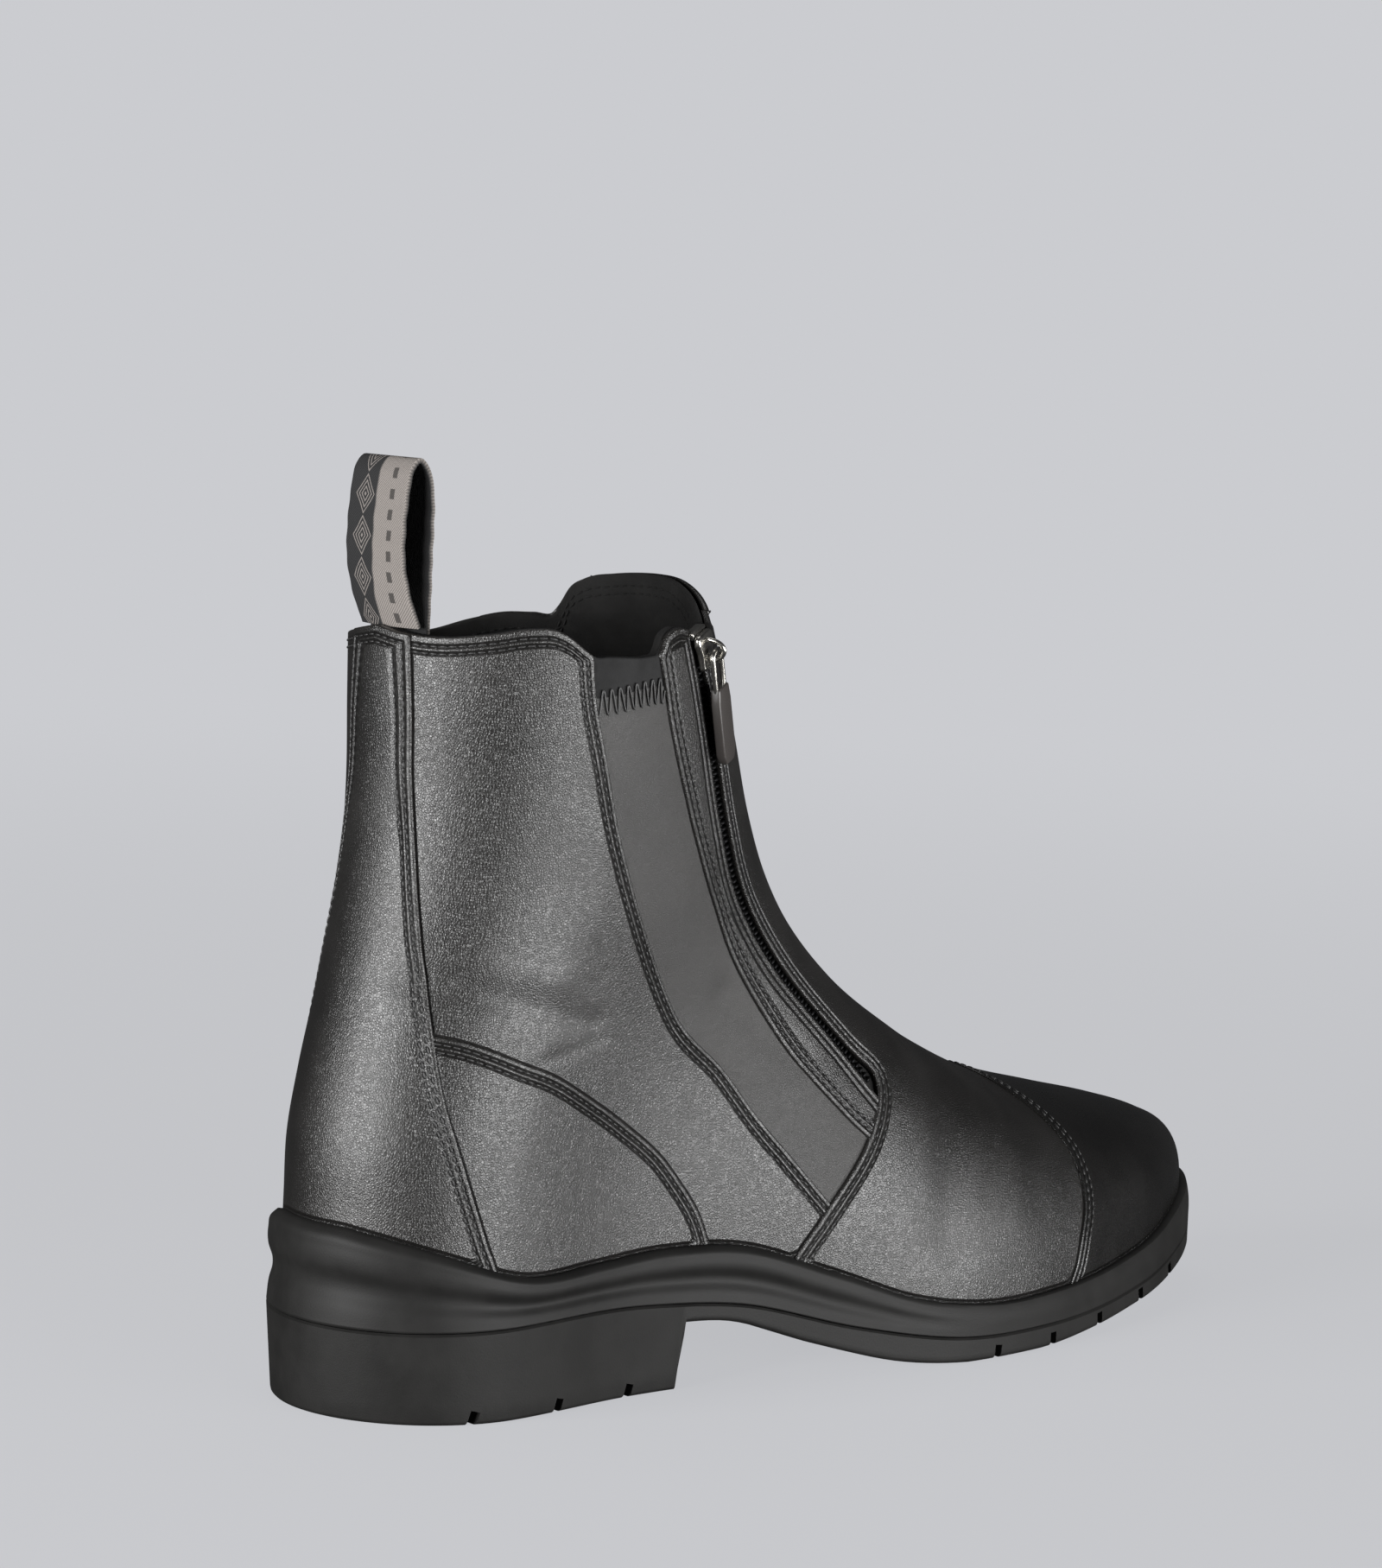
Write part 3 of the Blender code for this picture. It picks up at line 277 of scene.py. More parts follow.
# Columns: height / COLLAR_HEIGHT, place of the back seam / COLLAR_LENGTH
BACK = (
    (0.00, -0.018), (0.26, -0.018), (0.34, -0.016), (0.42, 0.008), (0.55, 0.062), (0.68, 0.106),
    (0.80, 0.124), (0.90, 0.124), (1.00, 0.124),
)
# From the toe tip to the collar. Columns: place along the foot / FOOT_LENGTH,
# height over the toe's floor / the collar's height over it
FRONT = (
    (0.998, 0.000), (0.998, 0.052), (0.996, 0.094), (0.984, 0.121), (0.950, 0.149), (0.895, 0.178),
    (0.815, 0.211), (0.700, 0.264), (0.592, 0.355), (0.502, 0.466), (0.440, 0.591), (0.407, 0.716),
    (0.386, 0.830), (0.369, 0.920), (0.352, 1.000),
)
# Columns: height / COLLAR_HEIGHT, half width / COLLAR_WIDTH, depth of the back's rounding / COLLAR_LENGTH,
# depth of the front's rounding / COLLAR_LENGTH
LEG = (
    (0.18, 0.400, 0.36, 0.62), (0.35, 0.405, 0.38, 0.60), (0.50, 0.410, 0.42, 0.58),
    (0.65, 0.430, 0.46, 0.56), (0.80, 0.465, 0.48, 0.54), (1.00, 0.500, 0.50, 0.50),
)
# Columns: place along the foot / FOOT_LENGTH, fullness of the cross section over the rim
VAULT = ((0.35, 1.9), (0.55, 2.0), (0.70, 2.2), (0.85, 2.5), (1.00, 2.6))
# Columns: place / FOOT_LENGTH, tilt about the foot's width in radians; cuts across the tread's edge
NOTCHES = (
    (0.072, 0.25), (0.157, 0.25), (0.237, 0.25), (0.602, 0.1), (0.677, 0.0), (0.752, -0.1),
    (0.827, -0.2), (0.892, -0.3),
)
# Columns: share of the way down the side, outward place / SOLE_LIP; bead, groove and band
CUP_SIDE = (
    (0.00, 0.45), (0.06, 0.82), (0.20, 1.00), (0.38, 0.98), (0.54, 0.70), (0.62, 0.68), (0.80, 0.90),
    (1.00, 1.00),
)
# Seams in the side view, each from below upwards but the counter's, which runs from behind to the front.
# Columns: place along the foot / FOOT_LENGTH, height / COLLAR_HEIGHT
QUARTER_EDGE = (
    (0.490, 0.130), (0.462, 0.190), (0.437, 0.232), (0.402, 0.296), (0.369, 0.354), (0.332, 0.423),
    (0.289, 0.481), (0.256, 0.556), (0.226, 0.638), (0.205, 0.707), (0.190, 0.765), (0.173, 0.852),
    (0.161, 0.920), (0.153, 1.010),
)
VAMP_EDGE = (
    (0.385, 0.080), (0.405, 0.162), (0.420, 0.191), (0.438, 0.232), (0.460, 0.272), (0.478, 0.307),
    (0.492, 0.342), (0.503, 0.377), (0.508, 0.400),
)
VAMP_INNER = (
    (0.385, 0.080), (0.405, 0.162), (0.425, 0.232), (0.430, 0.300), (0.415, 0.370), (0.385, 0.440),
    (0.350, 0.520), (0.315, 0.610), (0.285, 0.710), (0.262, 0.820), (0.250, 0.920), (0.243, 1.060),
)
CAP_SEAM = (
    (0.700, 0.030), (0.714, 0.075), (0.723, 0.099), (0.733, 0.139), (0.743, 0.174), (0.748, 0.209),
    (0.748, 0.242), (0.742, 0.272), (0.728, 0.305), (0.705, 0.345), (0.675, 0.400),
)
COUNTER_SEAM = (
    (0.030, 0.498), (0.063, 0.489), (0.089, 0.475), (0.114, 0.458), (0.151, 0.435), (0.191, 0.400),
    (0.227, 0.365), (0.267, 0.319), (0.294, 0.272), (0.312, 0.232), (0.323, 0.191), (0.332, 0.140),
    (0.338, 0.080),
)
STRAP_EDGE = (
    (0.106, 0.080), (0.100, 0.162), (0.093, 0.200), (0.085, 0.232), (0.071, 0.301), (0.060, 0.365),
    (0.053, 0.423), (0.050, 0.500), (0.049, 0.600), (0.050, 0.730), (0.049, 0.860), (0.046, 1.060),
)
# The middle of the zip. Columns: way up (0 at the feather line, 1 at the collar),
# turn (0 front, -1 back seam)
ZIP_LINE = (
    (0.30, -0.386), (0.38, -0.372), (0.45, -0.356), (0.52, -0.345), (0.60, -0.340), (0.80, -0.338),
    (1.00, -0.350),
)
# The band between gore and zip. Columns: way up, distance behind the zip's middle / BAND_WIDTH
BAND_EDGE = (
    (0.20, 0.940), (0.30, 0.945), (0.38, 1.005), (0.46, 1.055), (0.50, 1.020), (0.55, 0.950),
    (0.60, 0.855), (0.70, 0.680), (0.80, 0.730), (0.90, 0.825), (1.00, 0.790), (1.06, 0.850),
)
# The upper's top edge: low over the gore, raised at the front.
# Columns: turn, height over the collar / FRONT_RISE
TOP_LINE = (
    (-1.000, 0.00), (-0.930, -0.14), (-0.860, -0.18), (-0.760, -0.04), (-0.690, 0.12), (-0.650, 0.09),
    (-0.628, -0.08), (-0.608, -0.34), (-0.590, -0.54), (-0.560, -0.56), (-0.475, -0.56), (-0.460, -0.52),
    (-0.447, -0.33), (-0.436, -0.10), (-0.415, 0.08), (-0.360, 0.02), (-0.330, -0.03), (-0.200, 0.00),
    (-0.160, 0.05), (-0.130, 0.24), (-0.100, 0.48), (-0.050, 0.77), (0.000, 0.95), (0.050, 1.00),
    (0.100, 0.99), (0.150, 0.93), (0.200, 0.80), (0.230, 0.54), (0.245, 0.20), (0.262, -0.08),
    (0.300, -0.11), (0.350, -0.12), (0.420, -0.31), (0.500, -0.58), (0.600, -0.62), (0.750, -0.48),
    (0.900, -0.22), (1.000, 0.00),
)
# The loop's side view. Columns: place from the back seam inwards / LOOP_GAP,
# height over the collar / LOOP_HEIGHT
LOOP = (
    (0.43, 0.008), (0.16, 0.12), (-0.10, 0.32), (-0.16, 0.55), (-0.06, 0.80), (0.10, 0.94), (0.45, 1.00),
    (0.80, 0.955), (1.02, 0.84), (1.09, 0.62), (1.05, 0.38), (0.94, 0.18), (0.86, 0.04), (0.84, -0.12),
)
# Turns between which the front stands over the collar
RAISED = (-0.325, 0.255)
# The turn up to which the soft folds reach
FOLDS_END = 0.05
# Soft folds. Columns: place / FOOT_LENGTH and height / COLLAR_HEIGHT of both ends,
# half width and depth in mm
FOLDS = (
    (0.040, 0.560, 0.190, 0.500, 3.2, -0.50),
    (0.050, 0.600, 0.150, 0.560, 3.0, 0.30),
    (0.120, 0.450, 0.200, 0.478, 1.6, -0.22),
    (0.335, 0.520, 0.410, 0.425, 4.5, -0.70),
    (0.300, 0.470, 0.370, 0.400, 3.5, 0.25),
    (0.590, 0.370, 0.555, 0.170, 6.5, -0.90),
    (0.520, 0.330, 0.500, 0.220, 7.5, 0.45),
    (0.655, 0.300, 0.640, 0.190, 7.0, 0.45),
    (0.250, 0.700, 0.160, 0.800, 4.0, -0.15),
)

GRID_COLUMNS = 400
GRID_ROWS = 230


def column(table, place, index):
    """Smooth curve through one column of a table, read at the places given."""
    at = np.array([row[0] for row in table])
    value = np.array([row[index] for row in table])
    width = np.diff(at)
    rise = np.diff(value) / width
    slope = np.concatenate(([rise[0]], rise[:-1] * width[1:] + rise[1:] * width[:-1], [rise[-1]]))
    slope[1:-1] /= width[1:] + width[:-1]
    place = np.clip(place, at[0], at[-1])
    k = np.clip(np.searchsorted(at, place) - 1, 0, len(width) - 1)
    w = width[k]
    s = (place - at[k]) / w
    start = (1 + 2 * s) * (1 - s) ** 2 * value[k] + s * (1 - s) ** 2 * w * slope[k]
    return start + s * s * (3 - 2 * s) * value[k + 1] + s * s * (s - 1) * w * slope[k + 1]


def ease(share):
    """Soft step from 0 to 1."""
    share = np.clip(share, 0.0, 1.0)
    return share * share * (3 - 2 * share)


def blend(value, limits):
    """Soft step from 0 at the first limit to 1 at the second."""
    return ease((value - limits[0]) / (limits[1] - limits[0]))


def rounding(share, fullness=2.0):
    """Quarter of a superellipse: 0 at the end, 1 from one rounding depth inwards."""
    share = np.clip(share, 0.0, 1.0)
    return np.maximum(1 - (1 - share) ** fullness, 0.0) ** (1 / fullness)


def along(x):
    """Share of the way from the heel's back to the toe."""
    return (x - HEEL_BACK) / FOOT_LENGTH


def rim_height(x):
    return column(RIM, along(x), 1) * CUP_HEEL_HEIGHT


def line_height(x):
    """Top of the outsole, where the cup starts."""
    return column(LINE, along(x), 1) * HEEL_HEIGHT


def floor_height(x):
    """Floor inside the cup, twice as thick under the heel."""
    return line_height(x) + CUP_FLOOR * (2 - blend(along(x), HEEL_FLOOR))


def front_curve(count=400):
    """The front line from the toe tip to the collar: way up (0 to 1), x, z and its whole length."""
    x = HEEL_BACK + np.array([row[0] for row in FRONT]) * FOOT_LENGTH
    toe_floor = floor_height(x[0])
    z = toe_floor + np.array([row[1] for row in FRONT]) * (COLLAR_HEIGHT - toe_floor)
    way = np.concatenate(([0.0], np.cumsum(np.hypot(np.diff(x), np.diff(z)))))
    rows = list(zip(way / way[-1], x, z))
    at = np.linspace(0.0, 1.0, count)
    return at, column(rows, at, 1), column(rows, at, 2), way[-1]


FRONT_WAY, FRONT_X, FRONT_Z, FRONT_SPAN = front_curve()
TIP = int(FRONT_X.argmax())


def back_line(z):
    return HEEL_BACK + column(BACK, z / COLLAR_HEIGHT, 1) * COLLAR_LENGTH


def top_line(x):
    """Height of the front line over a place along the foot."""
    return np.interp(x, FRONT_X[TIP:][::-1], FRONT_Z[TIP:][::-1])


def nose_line(z):
    """The toe's foremost place at a height, below the toe's tip; above it the tip itself."""
    return np.interp(np.minimum(z, FRONT_Z[TIP]), FRONT_Z, FRONT_X)


def half_widths(x, z):
    """Outer and inner half width and the middle line, for points of the side view."""
    place = along(x)
    centre_x = HEEL_BACK + INSTEP_CENTRE[0] * FOOT_LENGTH
    centre_z = INSTEP_CENTRE[1] * COLLAR_HEIGHT
    turn = np.degrees(np.arctan2(centre_x - x, np.maximum(centre_z - z, 1e-6)))
    foot = np.where(z >= centre_z, 0.0, 1 - blend(turn, INSTEP_FAN))
    up = z / COLLAR_HEIGHT
    leg = column(LEG, up, 1) * COLLAR_WIDTH
    rise = blend(up, LEG_BLEND) * (1 - foot)
    arch = (z - rim_height(x)) / np.maximum(top_line(x) - rim_height(x), 1e-6)
    vault = np.sqrt(np.maximum(1 - np.clip(arch, 0.0, 1.0) ** column(VAULT, place, 1), 0.0))
    front = rounding((np.interp(z, FRONT_Z, FRONT_X) - x) / (column(LEG, up, 3) * COLLAR_LENGTH))
    back = rounding((x - back_line(z)) / (column(LEG, up, 2) * COLLAR_LENGTH))
    toe = rounding((nose_line(z) - x) / (TOE_ROUNDING * FOOT_LENGTH))
    section = back * (vault * foot + front * (1 - foot)) * toe
    outer = (column(PLAN, place, 1) * BALL_WIDTH * (1 - rise) + leg * rise) * section
    inner = (column(PLAN, place, 2) * BALL_WIDTH * (1 - rise) + leg * rise) * section
    middle = column(PLAN, place, 3) * BALL_WIDTH
    return outer, inner, middle


def surface(way, turn):
    """Point of the last, by its way up (0 feather line, 1 collar) and its turn (0 front, +-1 back seam).

    Turns below 0 lie on the outer side.
    """
    way, turn = np.broadcast_arrays(np.asarray(way, float), np.asarray(turn, float))
    angle = turn * math.pi
    front_x = np.interp(way, FRONT_WAY, FRONT_X)
    front_z = np.interp(way, FRONT_WAY, FRONT_Z) + np.maximum(way - 1, 0.0) * FRONT_SPAN
    heel_z = float(floor_height(HEEL_BACK))
    back_z = heel_z + (COLLAR_HEIGHT - heel_z) * way
    share = (1 + np.cos(angle)) / 2
    x = back_line(back_z) * (1 - share) + front_x * share
    level = back_z * (1 - share) + front_z * share
    lowest = heel_z * (1 - share) + FRONT_Z[0] * share
    fade = FLOOR_FADE[0] + (FLOOR_FADE[1] - FLOOR_FADE[0]) * ease((1 - share) / FLOOR_FADE_TURN)
    z = level + (floor_height(x) - lowest) * (1 - ease(way / fade))
    z = np.maximum(z, floor_height(x))
    outer, inner, middle = half_widths(x, z)
    side = np.where(np.sin(angle) < 0, -outer, inner)
    y = middle * blend(along(x), MIDDLE_BLEND) + side
    return np.stack((x, y, z), -1)


def normals_at(way, turn):
    """Outward normals of the last."""
    steps = (0.012, 0.024)
    across = sum(surface(way, turn + reach) - surface(way, turn - reach) for reach in steps)
    up = surface(way + steps[0], turn) - surface(np.maximum(way - steps[0], 0.0), turn)
    normal = np.cross(across, up)
    return normal / np.linalg.norm(normal, axis=-1, keepdims=True)


def sideways(way, turn, distance):
    """The turn that lies a distance in metres further round."""
    step = 0.004
    reach = np.linalg.norm(surface(way, turn + step) - surface(way, turn - step), axis=-1)
    return turn + distance * 2 * step / reach


def zip_line(way):
    return column(ZIP_LINE, way, 1)


def span_up(turn):
    """Length of the upper from the feather line to the collar."""
    share = (1 + np.cos(turn * math.pi)) / 2
    return (COLLAR_HEIGHT - HEEL_HEIGHT) * (1 - share) + FRONT_SPAN * share


def top_height(turn):
    """Height of the upper's top edge over the collar."""
    return column(TOP_LINE, turn, 1) * FRONT_RISE


def top_way(turn):
    """The way at which the upper ends."""
    return 1 + top_height(turn) / span_up(turn)


def segment_distance(x, z, ends):
    """Distance in the side view from points to the nearest segment of a line, and the side they lie on."""
    best = np.full(x.shape, np.inf)
    side = np.ones(x.shape)
    for (ax, az), (bx, bz) in zip(ends[:-1], ends[1:]):
        dx, dz = bx - ax, bz - az
        share = np.clip(((x - ax) * dx + (z - az) * dz) / (dx * dx + dz * dz), 0.0, 1.0)
        gap = np.hypot(x - ax - share * dx, z - az - share * dz)
        turned = dz * (x - ax) - dx * (z - az)
        closer = gap < best
        best = np.where(closer, gap, best)
        side = np.where(closer, np.sign(turned), side)
    return best, side


def seam_line(table, count=60):
    """A seam as points of the side view, in metres, with its ends carried on."""
    rows = [(k, x, z) for k, (x, z) in enumerate(table)]
    at = np.linspace(0, len(rows) - 1, count)
    x = HEEL_BACK + column(rows, at, 1) * FOOT_LENGTH
    z = column(rows, at, 2) * COLLAR_HEIGHT
    return carried_on(np.stack((x, z), -1))


def carried_on(line, reach=0.05):
    first = line[0] - line[1]
    last = line[-1] - line[-2]
    first *= reach / np.linalg.norm(first)
    last *= reach / np.linalg.norm(last)
    return np.concatenate(([line[0] + first], line, [line[-1] + last]))


def rounded_line(line, step=0.001, reach=9, passes=2):
    """A line of the side view with its corners rounded off."""
    way = np.concatenate(([0.0], np.cumsum(np.linalg.norm(np.diff(line, axis=0), axis=1))))
    at = np.arange(0.0, way[-1], step)
    soft = np.stack([np.interp(at, way, line[:, k]) for k in (0, 1)], -1)
    for _ in range(passes):
        first, last = (np.repeat(end, reach // 2, 0) for end in (soft[:1], soft[-1:]))
        padded = np.concatenate((first, soft, last))
        soft = np.stack([np.convolve(padded[:, k], np.ones(reach) / reach, "valid") for k in (0, 1)], -1)
    return soft


class Last:
    """Fine grid over the whole last, with its normals, its soft folds and the distance to every seam."""

    def __init__(self, columns=GRID_COLUMNS, rows=GRID_ROWS):
        share = np.linspace(0.0, 1.0, rows)
        turns = np.arange(columns) / columns * 2 - 1
        start, self.turn = np.meshgrid(share, turns, indexing="ij")
        end = top_way(self.turn)
        self.way = start + (end - 1) * blend(start, COLLAR_BLEND)
        self.point = surface(self.way, self.turn)
        self.normal = self.outward()
        self.x, self.z = self.point[..., 0].copy(), self.point[..., 2].copy()
        self.point += self.normal * self.folds()[..., None]
        self.lateral = self.turn < 0
        self.top = (end - self.way) * span_up(self.turn)
        self.measure()

    def outward(self):
        across = np.roll(self.point, -1, axis=1) - np.roll(self.point, 1, axis=1)
        up = np.gradient(self.point, axis=0)
        normal = np.cross(across, up)
        return normal / np.maximum(np.linalg.norm(normal, axis=-1, keepdims=True), 1e-12)

    def folds(self):
        lift = np.zeros(self.x.shape)
        for ax, az, bx, bz, width, depth in FOLDS:
            ends = np.array(((ax, az), (bx, bz))) * (FOOT_LENGTH, COLLAR_HEIGHT) + (HEEL_BACK, 0.0)
            gap, _ = segment_distance(self.x, self.z, ends)
            lift += depth * 1e-3 * np.exp(-(gap / (width * 1e-3)) ** 2)
        return lift * (self.turn < FOLDS_END)

    def true_distance(self, field):
        """A field's distance on the surface itself, where the side view shows it foreshortened."""
        across = (np.roll(self.point, -1, axis=1) - np.roll(self.point, 1, axis=1)) / 2
        up = np.gradient(self.point, axis=0)
        e = (across ** 2).sum(-1)
        f = (across * up).sum(-1)
        g = (up ** 2).sum(-1)
        slope_a = (np.roll(field, -1, axis=1) - np.roll(field, 1, axis=1)) / 2
        slope_b = np.gradient(field, axis=0)
        area = np.maximum(e * g - f * f, 1e-18)
        steep = (g * slope_a ** 2 - 2 * f * slope_a * slope_b + e * slope_b ** 2) / area
        return field / np.clip(np.sqrt(np.maximum(steep, 0.0)), 0.35, 1.0)

    def beside(self, line):
        gap, side = segment_distance(self.x, self.z, line)
        return self.true_distance(gap * side)

    def measure(self):
        slot_start = ZIP_LOWER_END + SLOT_START
        ways = np.linspace(slot_start, PAST_COLLAR, 40)
        half = SLOT_SEEN / 2
        far = surface(ways, sideways(ways, zip_line(ways), half))[:, [0, 2]]
        near = surface(ways, sideways(ways, zip_line(ways), -half))[:, [0, 2]]
        low = seam_line(VAMP_EDGE)[:-1]
        self.quarter = -self.beside(seam_line(QUARTER_EDGE))
        reach = np.linspace(BAND_EDGE[0][0], PAST_COLLAR, 40)
        edge = surface(reach, sideways(reach, zip_line(reach), -column(BAND_EDGE, reach, 1) * BAND_WIDTH))
        self.band = self.beside(carried_on(edge[:, [0, 2]]))
        self.zip_far = self.beside(carried_on(far))
        self.zip_near = -self.beside(carried_on(near))
        edge = np.concatenate((low, carried_on(far[far[:, 1] > low[-1, 1]])[1:]))
        self.vamp = self.beside(rounded_line(edge))
        self.vamp_inner = self.beside(seam_line(VAMP_INNER))
        self.cap = self.beside(seam_line(CAP_SEAM))
        self.counter = self.beside(seam_line(COUNTER_SEAM))
        self.strap = -self.beside(seam_line(STRAP_EDGE))
        self.rim = self.z - rim_height(self.x)
        width = np.linalg.norm(np.roll(self.point, -1, axis=1) - np.roll(self.point, 1, axis=1), axis=-1)
        metres = width * GRID_COLUMNS / 4
        across = np.abs(self.turn - zip_line(self.way)) * metres - ZIP_SLOT / 2
        self.slot = np.maximum(across, (slot_start - self.way) * FRONT_SPAN)


# Meshes cut from the grid


def cut_grid(field, level):
    """Faces of the grid where the field is over a level, cut along it.

    A new corner is given as a share of the way between two old ones.
    """
    rows, columns = field.shape
    inside = field > level
    number = np.arange(rows * columns).reshape(rows, columns)
    a, d = number[:-1], number[1:]
    b, c = np.roll(a, -1, axis=1), np.roll(d, -1, axis=1)
    corners = np.stack((a, b, c, d), -1).reshape(-1, 4)
    count = inside.reshape(-1)[corners].sum(1)
    faces = corners[count == 4].tolist()
    flat = field.reshape(-1)
    kept = inside.reshape(-1)
    crossings = {}

    def crossing(p, q):
        key = (min(p, q), max(p, q))
        if key not in crossings:
            share = (level - flat[key[0]]) / (flat[key[1]] - flat[key[0]])
            crossings[key] = (len(crossings), min(max(share, 0.02), 0.98))
        return rows * columns + crossings[key][0]

    for quad in corners[(count > 0) & (count < 4)].tolist():
        face = []
        for p, q in zip(quad, quad[1:] + quad[:1]):
            if kept[p]:
                face.append(p)
            if kept[p] != kept[q]:
                face.append(crossing(p, q))
        if len(face) > 2:
            faces.append(face)
    pairs = [(p, q, share) for (p, q), (_, share) in crossings.items()]
    return faces, pairs


def blended(values, pairs):
    """Values at the grid's points, followed by those at the cut corners."""
    flat = values.reshape(-1, *values.shape[2:])
    if not pairs:
        return flat
    first = np.array([p for p, _, _ in pairs])
    second = np.array([q for _, q, _ in pairs])
    share = np.array([s for _, _, s in pairs])
    if flat.ndim > 1:
        share = share[:, None]
    return np.concatenate((flat, flat[first] * (1 - share) + flat[second] * share))


def compact(faces, *values):
    """Drops the points that no face uses."""
    used = np.unique(np.concatenate([np.array(face) for face in faces]))
    place = np.zeros(len(values[0]), int)
    place[used] = np.arange(len(used))
    return [place[face].tolist() for face in faces], [value[used] for value in values]


def border_loops(faces):
    """Loops of the open border, each in the direction of its faces."""
    following = {}
    edges = set()
    for face in faces:
        for p, q in zip(face, face[1:] + face[:1]):
            if (q, p) in edges:
                edges.discard((q, p))
            else:
                edges.add((p, q))
    for p, q in edges:
        following[p] = q
    loops = []
    while following:
        start, here = following.popitem()
        loop = [start]
        while here != start and here in following:
            loop.append(here)
            here = following.pop(here)
        if len(loop) > 3:
            loops.append(loop)
    return loops


def smooth_loop(values, turns=2):
    for _ in range(turns):
        values = (np.roll(values, 1, axis=0) + 2 * values + np.roll(values, -1, axis=0)) / 4
    return values


def new_mesh(name, points, faces, material, fields=None):
    """A finished piece from points and faces, smooth, with number fields on its points."""
    mesh = bpy.data.meshes.new(name)
    mesh.from_pydata(np.asarray(points).tolist(), [], faces)
    for field, values in (fields or {}).items():
        mesh.attributes.new(field, "FLOAT", "POINT").data.foreach_set("value", np.asarray(values, np.float32))
    mesh.materials.append(material)
    mesh.shade_smooth()
    mesh.update()
    item = bpy.data.objects.new(name, mesh)
    bpy.context.scene.collection.objects.link(item)
    return item


def sheet_piece(name, last, field, face, thickness, material, radius=PANEL_EDGE):
    """A closed sheet on the last where the field is over 0, with its edges rounded over."""
    faces, pairs = cut_grid(field, radius)
    edge = np.minimum(field, np.maximum(last.top, 0.0))
    points, normals, gap = (blended(value, pairs) for value in (last.point, last.normal, edge))
    faces, (points, normals, gap) = compact(faces, points, normals, gap)
    count = len(points)
    rows = [points + normals * face, points + normals * (face - thickness)]
    fields = [gap, np.zeros(count)]
    total = 2 * count
    solid = list(faces) + [[count + corner for corner in reversed(face_)] for face_ in faces]
    profile = [(math.sin(a) * radius, (math.cos(a) - 1) * radius) for a in np.radians((22, 45, 67, 90))]
    profile.append((radius, -thickness))
    for loop in border_loops(faces):
        base = points[loop]
        run = smooth_loop(np.roll(base, -1, axis=0) - np.roll(base, 1, axis=0))
        out = np.cross(run, normals[loop])
        out /= np.maximum(np.linalg.norm(out, axis=1, keepdims=True), 1e-12)
        before = list(loop)
        for outward, down in profile:
            rows.append(base + normals[loop] * (face + down) + out * outward)
            fields.append(np.full(len(loop), radius - outward))
            after = list(range(total, total + len(loop)))
            total += len(loop)
            solid += ring_faces(before, after)
            before = after
        solid += ring_faces(before, [count + corner for corner in loop])
    return new_mesh(name, np.concatenate(rows), solid, material, {"edge": np.concatenate(fields)})


def ring_faces(before, after):
    """Faces between two rings of the same length, seen from the outer side of a border."""
    faces = []
    for k in range(len(before)):
        n = (k + 1) % len(before)
        faces.append([before[n], before[k], after[k], after[n]])
    return faces


def contour(last, field, level, where):
    """Lines of the grid on which a field has one level, as runs of points and normals."""
    faces, pairs = cut_grid(field, level)
    size = field.size
    points, normals = blended(last.point, pairs), blended(last.normal, pairs)
    allowed = blended(where.astype(float), pairs) > 0.5
    following = {}
    for face in faces:
        for p, q in zip(face, face[1:] + face[:1]):
            if p >= size and q >= size and allowed[p] and allowed[q]:
                following[p] = q
    starts = set(following) - set(following.values())
    runs = []
    while following:
        here = starts.pop() if starts else next(iter(following))
        run = [here]
        while here in following:
            here = following.pop(here)
            run.append(here)
        if len(run) > 4:
            runs.append((points[run], normals[run]))
    return runs


# Materials


class Value:
    """A number socket that joins in plain arithmetic."""

    def __init__(self, graph, socket):
        self.graph, self.socket = graph, socket

    def join(self, operation, *others):
        return self.graph.maths(operation, self, *others)

    def __add__(self, other):
        return self.graph.maths("ADD", self, other)

    def __radd__(self, other):
        return self.graph.maths("ADD", other, self)

    def __sub__(self, other):
        return self.graph.maths("SUBTRACT", self, other)

    def __rsub__(self, other):
        return self.graph.maths("SUBTRACT", other, self)

    def __mul__(self, other):
        return self.graph.maths("MULTIPLY", self, other)

    def __rmul__(self, other):
        return self.graph.maths("MULTIPLY", other, self)

    def __truediv__(self, other):
        return self.graph.maths("DIVIDE", self, other)

    def __rtruediv__(self, other):
        return self.graph.maths("DIVIDE", other, self)

    def near(self, middle, width):
        """1 at the middle, falling to 0 one width away."""
        return (1 - (self - middle).join("ABSOLUTE") / width).join("MAXIMUM", 0.0)

    def step(self, low, high):
        return self.graph.node(
            "ShaderNodeMapRange", {"interpolation_type": "SMOOTHSTEP", "clamp": True},
            {"Value": self, "From Min": low, "From Max": high},
        ).value("Result")


class Node:
    """A made node, whose outputs are read by name."""

    def __init__(self, graph, node):
        self.graph, self.node = graph, node

    def value(self, name):
        return Value(self.graph, self.node.outputs[name])

    def out(self, name):
        return self.node.outputs[name]


